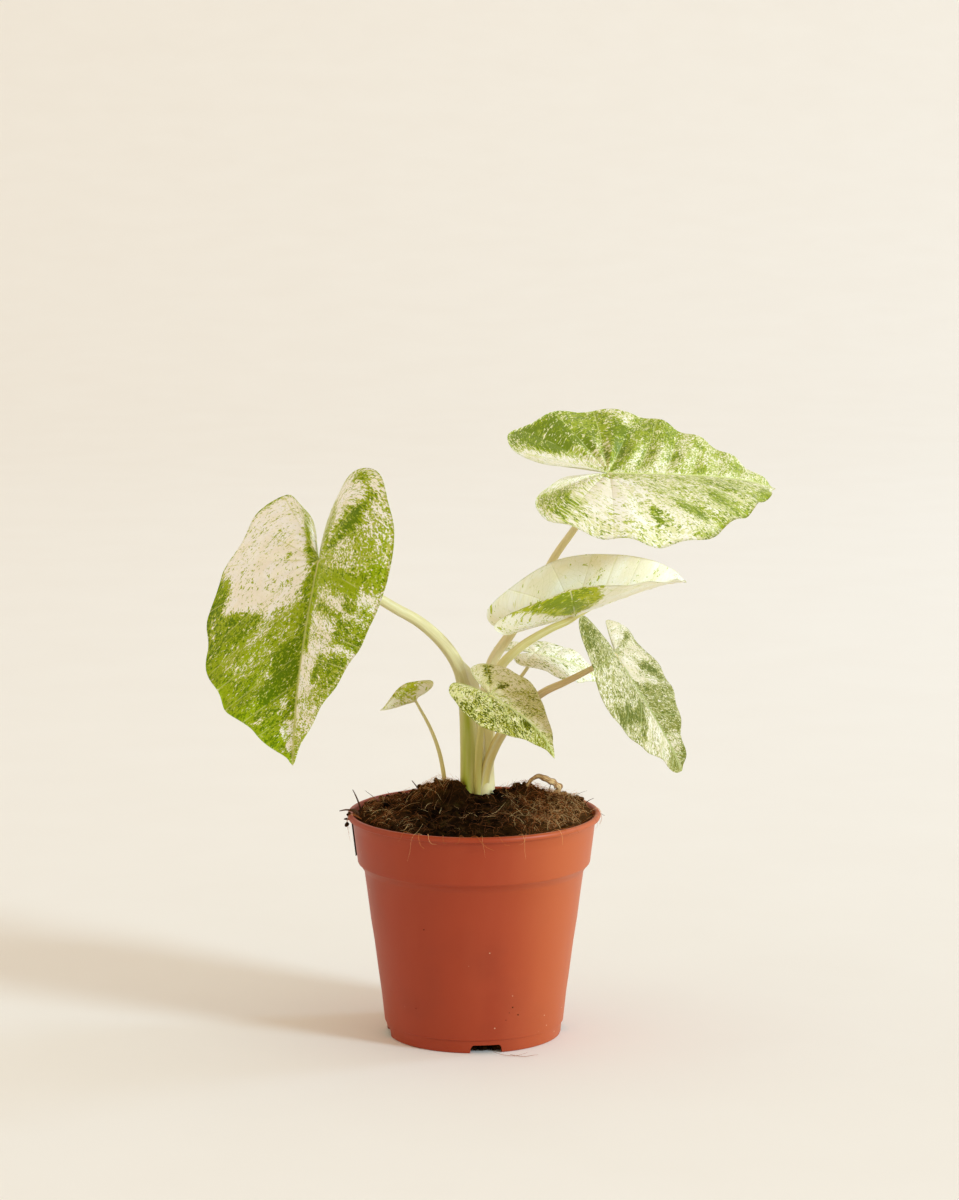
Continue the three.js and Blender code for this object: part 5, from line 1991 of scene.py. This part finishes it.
WHITE_LEAF = VariegatedTissue(
    name="white_aroid_leaf", cream="#F8F2E2", warm_cream="#F2E9D0", green="#98A040", deep_green="#66742A",
    light_green="#C0BE78", pale_green="#DEDAAC", coarse_mm=5.0, middle_mm=1.8, fine_mm=0.8,
)
# The bright lower colours of the green, yellow and tan stalks are partly their pale bases and partly painted
# light where the blades above shade the bundle
GREEN_STALK = FleshyStalk("green_aroid_stalk", upper="#D6CC96", lower="#F0E29A", streak="#F2EAC0")
YELLOW_STALK = FleshyStalk("yellow_aroid_stalk", upper="#D6CC80", lower="#FCF4BE", streak="#F4EEC4",
                           turn_mm=110.0)
FRONT_STALK = FleshyStalk("olive_aroid_stalk", upper="#DCD284", lower="#CEC468", streak="#E2D896")
TAN_STALK = FleshyStalk("tan_aroid_stalk", upper="#D2B886", lower="#EEE084", streak="#F0E4A6", turn_mm=62.0)
PALE_STALK = FleshyStalk("pale_aroid_stalk", upper="#DFD2A0", lower="#D2C58A", streak="#ECE4C4")
MEMBRANE = FleshyStalk("sheath_membrane", upper="#EBE5C2", lower="#D2C58A", streak="#F1ECD8")

L, R = Side.LEFT, Side.RIGHT

LEAVES = (
    Leaf(
        "large_left", at=(-71.5, -36, 232), heading=254, pitch=-55, roll=34, length=111,
        shoulder=0.9, taper=0.64, droop=-7, sweep=23, twist=-20, lobe_droop=-11,
        left=BladeHalf(52, 38, 0.58, 21, 47, 0.3), right=BladeHalf(63, 38, 0.42, 20, 24, 1.7),
        midrib=2, wave=0.5, quilt=0.9, veins=7, lobe_veins=5, lacking=0.15, depth=0.55,
        patches=(
            Patch(L, 0.42, 0.4, ((-1.1, -0.1), (-1.1, 1.1), (1.1, 1.1), (1.1, -0.1))),
            Patch(L, 0.62, 0.2, ((-1, 0), (-1, 1), (-0.78, 1), (-0.74, 0.5), (-0.8, 0.1))),
            Patch(L, -0.2, 1.1, ((-1, 0), (-1, 1), (-0.95, 1), (-0.93, 0.4), (-0.9, 0))),
            Patch(L, 0.42, 0.25, ((-0.32, 0.15), (-0.32, 1), (-0.13, 1), (-0.08, 0.5), (0.0, 0.1))),
            Patch(L, 0.8, 0.2, ((-0.78, 1), (-0.7, 0.6), (-0.55, 0.38), (-0.5, 0.5), (-0.5, 0.85),
                                (-0.45, 1))),
            Patch(L, 0.12, 0.8, ((-0.5, 0.4), (-0.5, 0.86), (-0.4, 0.84), (-0.3, 0.45), (-0.33, 0.2),
                                 (-0.45, 0.25))),
            Patch(L, 0.72, 0.2, ((-0.45, 1), (-0.42, 0.86), (-0.39, 0.72), (-0.33, 0.8), (-0.29, 0.9),
                                 (-0.28, 1))),
            Patch(L, 0.14, 0.3, ((-0.13, 0.95), (-0.06, 0.6), (0.0, 0.2), (0.08, 0.15), (0.06, 0.6),
                                 (-0.01, 0.95))),
            Patch(L, 0.78, 0.2, ((0.0, 0.8), (-0.01, 1), (0.12, 1), (0.1, 0.8))),
            Patch(L, 0.75, 0.2, ((0.08, 0.75), (0.1, 0.45), (0.16, 0.12), (0.3, 0.1), (0.32, 0.55),
                                 (0.2, 0.62), (0.16, 0.8))),
            spot(L, 0.11, 0.67, 0.035, 0.1, 0.0, 1.0),
            spot(L, 0.1, 0.9, 0.025, 0.05, 0.0, 0.7),
            Patch(L, 0.2, 0.6, ((0.16, 0.2), (0.16, 0.62), (0.22, 0.6), (0.22, 0.2))),
            Patch(L, 0.2, 0.7, ((0.2, 0.62), (0.19, 1), (0.33, 1), (0.31, 0.6))),
            Patch(L, 0.75, 0.2, ((0.33, 0.2), (0.33, 1), (0.38, 1), (0.39, 0.45), (0.64, 0.45), (0.64, 0),
                                 (0.42, 0))),
            Patch(L, 0.22, 0.7, ((0.39, 0.46), (0.38, 0.96), (0.56, 0.96), (0.55, 0.42))),
            Patch(L, 0.58, 0.3, ((0.65, 0), (0.62, 1), (0.84, 1), (0.84, 0))),
            Patch(L, 0.05, 0.3, ((0.0, 0), (0.0, 0.14), (0.4, 0.12), (0.4, 0))),
            spot(L, -0.58, 0.9, 0.03, 0.05, 0.05, 0.5),
            spot(L, -0.53, 0.83, 0.02, 0.04, 0.05, 0.5),
            Patch(R, 0.3, 0.3, ((0.12, 0.1), (0.12, 1), (0.32, 1), (0.33, 0.1))),
            Patch(R, 0.89, 0.2, ((-0.78, 1), (-0.74, 0.6), (-0.6, 0.22), (-0.3, 0.09), (0.04, 0.07),
                                 (0.12, 0.15), (0.12, 0.4), (0.01, 0.6), (-0.1, 0.8), (-0.26, 0.88),
                                 (-0.3, 1))),
            Patch(R, 0.75, 0.3, ((-0.92, 0.3), (-0.9, 1), (-0.8, 1), (-0.78, 0.5), (-0.66, 0.2),
                                 (-0.8, 0.1))),
            spot(R, -0.4, 0.3, 0.04, 0.035, 0.2, 0.6),
            spot(R, -0.02, 0.27, 0.05, 0.05, 0.5, 0.5),
            spot(R, -0.72, 0.75, 0.05, 0.1, 0.6, 0.5),
            spot(R, -0.55, 0.55, 0.05, 0.05, 0.68, 0.6),
            Patch(R, 0.06, 1.0, ((0.34, 0), (0.34, 0.4), (0.42, 0.42), (0.5, 0.62), (0.58, 0.6), (0.6, 0))),
            Patch(R, 0.42, 0.2, ((0.36, 0.36), (0.38, 0.6), (0.44, 0.6), (0.43, 0.4))),
            Patch(R, 0.03, 0.3, ((0.1, 0.86), (0.1, 1), (0.7, 1), (0.7, 0.86))),
            spot(R, 0.62, 0.3, 0.02, 0.08, 0.75, 0.2),
            spot(R, 0.63, 0.88, 0.02, 0.07, 0.75, 0.2),
            spot(R, 0.16, 0.5, 0.02, 0.1, 0.7, 0.2),
            Patch(R, 0.6, 0.3, ((0.74, 0), (0.72, 0.45), (0.92, 0.5), (0.92, 0))),
        ),
    ),
    Leaf(
        "large_right", at=(63, 8, 267.5), heading=22, pitch=-4, roll=28, length=105,
        shoulder=0.9, taper=0.56, droop=30, sweep=24, twist=8, lobe_droop=14,
        left=BladeHalf(47, 43, 0.52, 12, 13, 0.6), right=BladeHalf(52, 45, 0.54, 14, 40, 1.6),
        midrib=1.8, wave=1.1, quilt=0.5, veins=7, lobe_veins=5, lacking=0.62, depth=0.3, pleat=1.1,
        patches=(
            Patch(L, 0.85, 0.2, ((-1, 0), (-1, 1), (-0.64, 1), (-0.6, 0.4), (-0.7, 0.05))),
            Patch(L, 0.08, 0.75, ((-0.6, 0.45), (-0.62, 1), (-0.3, 1), (-0.28, 0.45))),
            Patch(L, 0.5, 0.3, ((-0.56, 0.18), (-0.56, 0.45), (-0.35, 0.45), (-0.32, 0.15))),
            spot(L, -0.3, 0.45, 0.05, 0.12, 0.02, 0.9),
            Patch(L, 0.14, 0.4, ((-0.3, 0.5), (-0.32, 1), (-0.12, 1), (-0.12, 0.5))),
            Patch(L, 0.06, 0.6, ((-0.25, 0.2), (-0.25, 0.55), (-0.17, 0.55), (-0.15, 0.2))),
            Patch(L, 0.24, 0.25, ((-0.14, 0.12), (-0.14, 0.5), (0.0, 0.5), (0.0, 0.1))),
            Patch(L, 0.24, 0.4, ((0.0, 0.05), (0.0, 1), (0.2, 1), (0.22, 0.1))),
            Patch(L, 0.0, 0.85, ((-0.1, 0.88), (0.0, 0.78), (0.035, 0.55), (0.01, 0.32), (-0.05, 0.32),
                                 (-0.11, 0.6))),
            spot(L, 0.02, 0.08, 0.03, 0.06, 0.0, 0.8),
            # These three narrow pale strips near the stalk are painted highlights on the pleats of the far
            # half
            Patch(L, 0.7, 0.2, ((-0.24, 0.14), (-0.22, 0.5), (-0.2, 0.5), (-0.2, 0.12))),
            Patch(L, 0.7, 0.2, ((0.08, 0.1), (0.1, 0.45), (0.12, 0.45), (0.12, 0.1))),
            Patch(L, 0.6, 0.2, ((0.17, 0.08), (0.2, 0.35), (0.24, 0.35), (0.22, 0.08))),
            Patch(L, 0.15, 0.5, ((0.2, 0.6), (0.2, 1), (0.31, 1), (0.3, 0.6))),
            Patch(L, 0.46, 0.2, ((0.3, 0), (0.31, 1), (0.65, 1), (0.65, 0))),
            spot(L, 0.3, 0.4, 0.03, 0.08, 0.05, 0.5),
            spot(L, 0.48, 0.18, 0.03, 0.08, 0.1, 0.5),
            spot(L, 0.45, 0.75, 0.03, 0.08, 0.15, 0.5),
            spot(L, 0.7, 0.5, 0.05, 0.3, 0.2, 0.4),
            Patch(L, 0.4, 0.2, ((0.8, 0), (0.8, 1), (1, 1), (1, 0))),
            Patch(R, 0.8, 0.2, ((-1, 0), (-1, 1), (-0.68, 1), (-0.66, 0.3), (-0.75, 0.05))),
            Patch(R, 0.8, 0.4, ((-0.5, 0.16), (-0.55, 1), (0.04, 1), (0.06, 0.16))),
            Patch(R, 0.38, 0.1, ((-0.6, 0), (-0.55, 0.16), (0.05, 0.14), (0.1, 0))),
            Patch(R, 0.5, 0.3, ((0.1, 0.05), (0.0, 0.5), (0.15, 0.95), (0.85, 0.95), (0.9, 0.05))),
            Patch(R, 0.62, 0.9, ((-0.45, 0.75), (-0.5, 0.95), (-0.05, 0.97), (-0.05, 0.8))),
            Patch(R, 0.3, 0.5, ((-0.65, 0.6), (-0.66, 0.92), (-0.5, 0.9), (-0.49, 0.62))),
            spot(R, -0.1, 0.72, 0.03, 0.1, 0.0, 0.8),
            spot(R, 0.1, 0.7, 0.032, 0.12, 0.0, 0.85),
            Patch(R, 0.12, 0.5, ((0.3, 0.5), (0.28, 0.92), (0.36, 0.92), (0.37, 0.45))),
            Patch(R, 0.35, 0.6, ((0.4, 0.15), (0.4, 0.6), (0.6, 0.55), (0.6, 0.15))),
            Patch(R, 0.15, 0.5, ((0.6, 0.7), (0.58, 0.95), (0.76, 0.95), (0.75, 0.68))),
            Patch(R, 0.15, 0.5, ((0.0, 0.93), (0.0, 1), (0.75, 1), (0.75, 0.93))),
        ),
    ),
    Leaf(
        "folded_right", at=(47, -6.5, 202.5), heading=3, pitch=19, roll=44, length=63,
        shoulder=0.88, taper=0.58, droop=57, sweep=28, twist=25, lobe_droop=26,
        left=BladeHalf(27, 36, 0.58, 47, 4), right=BladeHalf(33, 29, 0.78, 62, -26),
        # lacking above 1 leaves nearly the whole blade cream, as painted light for the glow through its thin
        # far half
        midrib=1.5, wave=0.6, quilt=0.05, veins=5, lobe_veins=4, slot="leaf_pale", lacking=1.05, depth=0.1,
        patches=(
            spot(L, 0.1, 0.55, 0.05, 0.2, 0.72, 0.3),
            spot(L, 0.6, 0.45, 0.05, 0.35, 0.7, 0.3),
            Patch(R, 0.84, 0.1, ((-1, 0), (-1, 1), (-0.42, 1), (-0.46, 0.1))),
            Patch(R, 0.08, 0.4, ((-0.44, 0.1), (-0.42, 1), (-0.05, 1), (0.02, 0.6), (0.08, 0.15),
                                 (-0.1, 0.03))),
            Patch(R, -0.1, 0.9, ((-0.3, 0.25), (-0.3, 0.95), (-0.16, 0.95), (-0.1, 0.25))),
        ),
    ),
    Leaf(
        "drooping_right", at=(65.5, -29, 188), heading=-13, pitch=-58, roll=16, length=67,
        shoulder=0.92, taper=0.62, droop=24, sweep=27, twist=33, lobe_droop=10,
        left=BladeHalf(27, 15, 0.4, 6, 23), right=BladeHalf(34, 23, 0.42, 20, 25),
        midrib=1.3, wave=0.6, quilt=0.5, veins=6, lobe_veins=3, lacking=0.46, depth=0.45, blunt=0.3,
        patches=(
            Patch(L, 0.85, 0.2, ((-1, 0), (-1, 1), (-0.42, 1), (-0.45, 0))),
            spot(L, -0.4, 0.7, 0.05, 0.12, 0.15, 0.4),
            Patch(L, 0.74, 0.2, ((-0.3, 0.1), (-0.3, 0.8), (0, 0.8), (0, 0.1))),
            Patch(L, 0.86, 0.2, ((0.0, 0.4), (0.02, 0.0), (0.2, 0.0), (0.25, 0.3), (0.23, 0.65),
                                 (0.16, 0.65), (0.16, 0.3))),
            Patch(L, 0.3, 0.4, ((0.24, 0.05), (0.24, 0.95), (0.65, 0.95), (0.65, 0.05))),
            spot(L, 0.07, 0.6, 0.05, 0.17, 0.0, 1.0),
            spot(L, 0.13, 0.82, 0.03, 0.08, 0.1, 0.6),
            Patch(L, 0.55, 0.2, ((0.66, 0), (0.66, 0.8), (0.8, 0.8), (0.95, 0))),
            Patch(L, 0.1, 0.5, ((0.74, 0.82), (0.78, 1), (1, 1), (1, 0.3))),
            Patch(R, 0.15, 0.6, ((-0.62, 0.6), (-0.62, 0.97), (-0.38, 0.97), (-0.4, 0.6))),
            Patch(R, 0.3, 0.35, ((-0.5, 0.4), (-0.5, 0.7), (-0.25, 0.95), (-0.2, 0.3))),
            Patch(R, 0.55, 0.5, ((-0.2, 0.2), (-0.25, 1), (0.05, 1), (0.1, 0.2))),
            Patch(R, 0.05, 0.6, ((0.36, 0.15), (0.39, 0.5), (0.26, 0.75), (0.08, 0.97), (0.02, 0.9),
                                 (0.15, 0.65), (0.27, 0.45), (0.3, 0.2))),
            spot(R, 0.15, 0.72, 0.04, 0.1, 0.0, 0.95),
            Patch(R, 0.72, 0.2, ((0.42, 0), (0.4, 1), (0.76, 1), (0.76, 0))),
            spot(R, 0.37, 0.8, 0.03, 0.08, 0.05, 0.5),
            Patch(R, 0.25, 0.1, ((0.78, 0), (0.78, 1), (1, 1), (1, 0))),
        ),
    ),
    Leaf(
        "small_front", at=(7.5, -35.5, 169.5), heading=-19, pitch=-29, roll=15, length=44,
        shoulder=0.92, taper=0.54, droop=56, sweep=15, twist=3, lobe_droop=3,
        left=BladeHalf(22, 16, 0.46, 12, 4, 0.3), right=BladeHalf(22, 17, 0.46, -2, 9, 0.3),
        # The far left half is made creamier, as painted light against the shadow that the drooping right
        # blade casts on it
        midrib=1.1, wave=0.4, quilt=0.35, veins=5, lobe_veins=3, lacking=0.76, depth=0.5,
        patches=(
            # This patch greens the whole near right half, as painted shade
            Patch(R, 0.42, 0.75, ((-1.1, -0.1), (-1.1, 1.1), (1.1, 1.1), (1.1, -0.1))),
            Patch(L, 0.78, 0.2, ((-1, 0), (-1, 1), (-0.6, 1), (-0.6, 0))),
            Patch(L, 0.15, 0.6, ((-0.52, 0.35), (-0.54, 0.95), (-0.46, 0.95), (-0.45, 0.35))),
            spot(L, -0.2, 0.4, 0.08, 0.15, 0.1, 0.8),
            Patch(L, 0.58, 0.5, ((0, 0.08), (0, 1), (0.45, 1), (0.45, 0.08))),
            Patch(L, 0.8, 0.2, ((0.46, 0.2), (0.46, 0.62), (0.6, 0.6), (0.6, 0.2))),
            spot(L, -0.05, 0.86, 0.05, 0.12, 0.8, 0.2),
            Patch(L, 0.5, 0.1, ((0.66, 0), (0.66, 1), (1, 1), (1, 0))),
            Patch(R, 0.55, 0.6, ((-1, 0), (-1, 1), (-0.4, 1), (-0.4, 0))),
            spot(R, -0.3, 0.5, 0.06, 0.12, 0.25, 0.7),
            spot(R, -0.1, 0.5, 0.05, 0.12, 0.25, 0.7),
            Patch(R, 0.3, 0.7, ((-0.4, 0.7), (-0.4, 1), (0, 1), (0, 0.7))),
            Patch(R, 0.25, 0.6, ((0.14, 0.6), (0.14, 0.88), (0.36, 0.86), (0.35, 0.6))),
            Patch(R, 0.05, 0.9, ((0.4, 0), (0.4, 0.56), (0.51, 0.52), (0.51, 0))),
            spot(R, -0.2, 0.66, 0.04, 0.05, 0.85, 0.2),
            spot(R, 0.3, 0.4, 0.05, 0.08, 0.85, 0.2),
            Patch(R, 0.3, 0.1, ((0.54, 0), (0.54, 1), (1, 1), (1, 0))),
        ),
    ),
    Leaf(
        "pale_back", at=(29, 24, 179), heading=21, pitch=-14, roll=8, length=40,
        shoulder=0.88, taper=0.64, droop=37, sweep=1, twist=32, lobe_droop=36,
        left=BladeHalf(18, 18, 0.52, 8, 14), right=BladeHalf(21, 14, 0.5, 2, 23),
        midrib=1, wave=0.4, quilt=0.3, veins=4, lobe_veins=3, slot="leaf_pale", lacking=0.72, depth=0.5,
        patches=(
            spot(L, 0.14, 0.9, 0.03, 0.07, 0.0, 0.9),
            spot(L, -0.05, 0.6, 0.03, 0.07, 0.1, 0.7),
            spot(R, 0.25, 0.4, 0.035, 0.09, 0.0, 1.0),
            Patch(R, 0.5, 0.6, ((-0.3, 0.5), (-0.3, 0.85), (-0.08, 0.85), (-0.08, 0.5))),
            spot(R, 0.1, 0.35, 0.03, 0.08, 0.3, 0.5),
        ),
    ),
    Leaf(
        "tiny_left", at=(-28, 2.5, 160.5), heading=202, pitch=-18, roll=7, length=18,
        shoulder=0.88, taper=0.56, droop=-13, sweep=2, twist=2, lobe_droop=17,
        left=BladeHalf(10, 9, 0.62, 60, 0), right=BladeHalf(9, 8, 0.66, 60, 0),
        midrib=0.8, wave=0, quilt=0, veins=3, lobe_veins=2, lacking=0.42, depth=0.2,
        patches=(
            Patch(L, 0.9, 0.2, ((-1, 0), (-1, 1), (-0.35, 1), (-0.35, 0))),
            Patch(R, 0.9, 0.2, ((-1, 0), (-1, 1), (-0.35, 1), (-0.35, 0))),
            Patch(L, 0.85, 0.2, ((0.4, 0), (0.4, 1), (1, 1), (1, 0))),
            Patch(R, 0.85, 0.2, ((0.4, 0), (0.4, 1), (1, 1), (1, 0))),
        ),
    ),
)

TISSUES = {"large_right": GLOSSY_LEAF, "drooping_right": MOTTLED_LEAF, "small_front": SPECKLED_LEAF,
           "tiny_left": YOUNG_LEAF, "folded_right": YOUNG_LEAF, "pale_back": WHITE_LEAF}

STALKS = (
    Stalk("large_left", ((-3, 1, 104), (-2.9, 0.8, 118), (-3.1, 0, 140), (-4, -4, 160), (-6.5, -9, 176),
                         (-13.5, -15, 189), (-25, -22, 201), (-37, -28, 209), (-52, -33, 219),
                         (-64, -35, 227)),
          3.8, 3.2, 1.9, GREEN_STALK, opens=214, clasp=3.0, clasp_top=70, flush=1.35, flush_at=168,
          flush_width=0.9),
    Stalk("large_right", ((1.5, 9, 104), (2, 9, 118), (3, 9.5, 140), (5, 10, 158), (8.5, 10.5, 176),
                          (18.5, 11, 192), (29, 11, 209), (38, 11, 227), (49, 10.5, 243), (60, 9, 262)),
          3, 2.4, 1.4, PALE_STALK, opens=120),
    Stalk("folded_right", ((6, 3.6, 104), (6.4, 3.5, 118), (7, 3, 138), (8, 2, 158), (11, 0, 174),
                           (21.5, -3, 186), (36, -4.6, 195.3), (43.5, -4.2, 198.6), (46.6, -4.9, 200.6)),
          3, 2.7, 1.6, YELLOW_STALK, opens=172, clasp=7.4, clasp_top=32),
    Stalk("drooping_right", ((3.9, -2.4, 104), (4.4, -3.2, 118), (6.8, -5.6, 132), (13, -8.5, 146),
                             (22, -12, 158), (33, -17, 167.5), (42, -21, 172.5), (55, -25, 180),
                             (63, -28, 185.5)),
          2.5, 2.3, 1.1, TAN_STALK, slot="stalk_tan", opens=200),
    Stalk("small_front", ((1.8, -3.8, 104), (1.9, -4.4, 118), (2.2, -7.0, 134), (3.2, -13.5, 148),
                          (5.2, -23.5, 160), (6.8, -32.5, 167.5)),
          1.9, 1.8, 1.1, FRONT_STALK, opens=0),
    Stalk("pale_back", ((5.6, 9.8, 104), (5.8, 10, 118), (6.5, 11, 134), (9.5, 13, 148), (17, 17.5, 161),
                        (25, 21.5, 171.5), (28, 23.4, 176.5)),
          1.5, 1.2, 0.8, PALE_STALK, opens=0),
    Stalk("tiny_left", ((-13.5, 7, 106), (-14, 6.6, 120), (-16.4, 5.6, 134), (-20.6, 4.4, 146),
                        (-26, 3.2, 156.5), (-27.6, 2.7, 159.5)),
          1.2, 1, 0.65, GREEN_STALK, opens=0),
)

MEMBRANES = (
    SheathWing(
        "sheath_membrane_large_left", "stalk_large_left",
        (((-1.5, 1, 116), (4.2, 1.4, 116)), ((-1.5, 0.8, 128), (5.2, 1, 128)),
         ((-1.6, 0.3, 141), (5.2, 0.6, 141)), ((-2.2, -2.5, 154), (4, -2.2, 155)),
         ((-3.6, -6, 166), (2.6, -5.6, 168)), ((-6.5, -9, 176), (0.2, -9.4, 175)),
         ((-10.5, -12.8, 184), (-9.2, -12.8, 185.6))),
        MEMBRANE,
    ),
)


def main() -> None:
    """Builds the pot, its filling, the plant and the studio, in that order."""
    logging.basicConfig(level=logging.INFO, format="%(message)s")
    pot = NurseryPot()
    pot.build(MouldedPolypropylene())
    PlainLabel(pot).build(MattFilm())
    bed = PeatBed(pot)
    bed.build_ground(MoistPeat())
    bed.build_fibres(CoirStrand())
    DryShred().build(DrySheath())
    leaves = {leaf.name: leaf for leaf in LEAVES}
    for leaf in LEAVES:
        leaf.build(TISSUES.get(leaf.name, LEAF))
    for stalk in STALKS:
        stalk.build(leaves[stalk.name])
    for membrane in MEMBRANES:
        membrane.build()
    Studio().build()


if __name__ == "__main__":
    main()
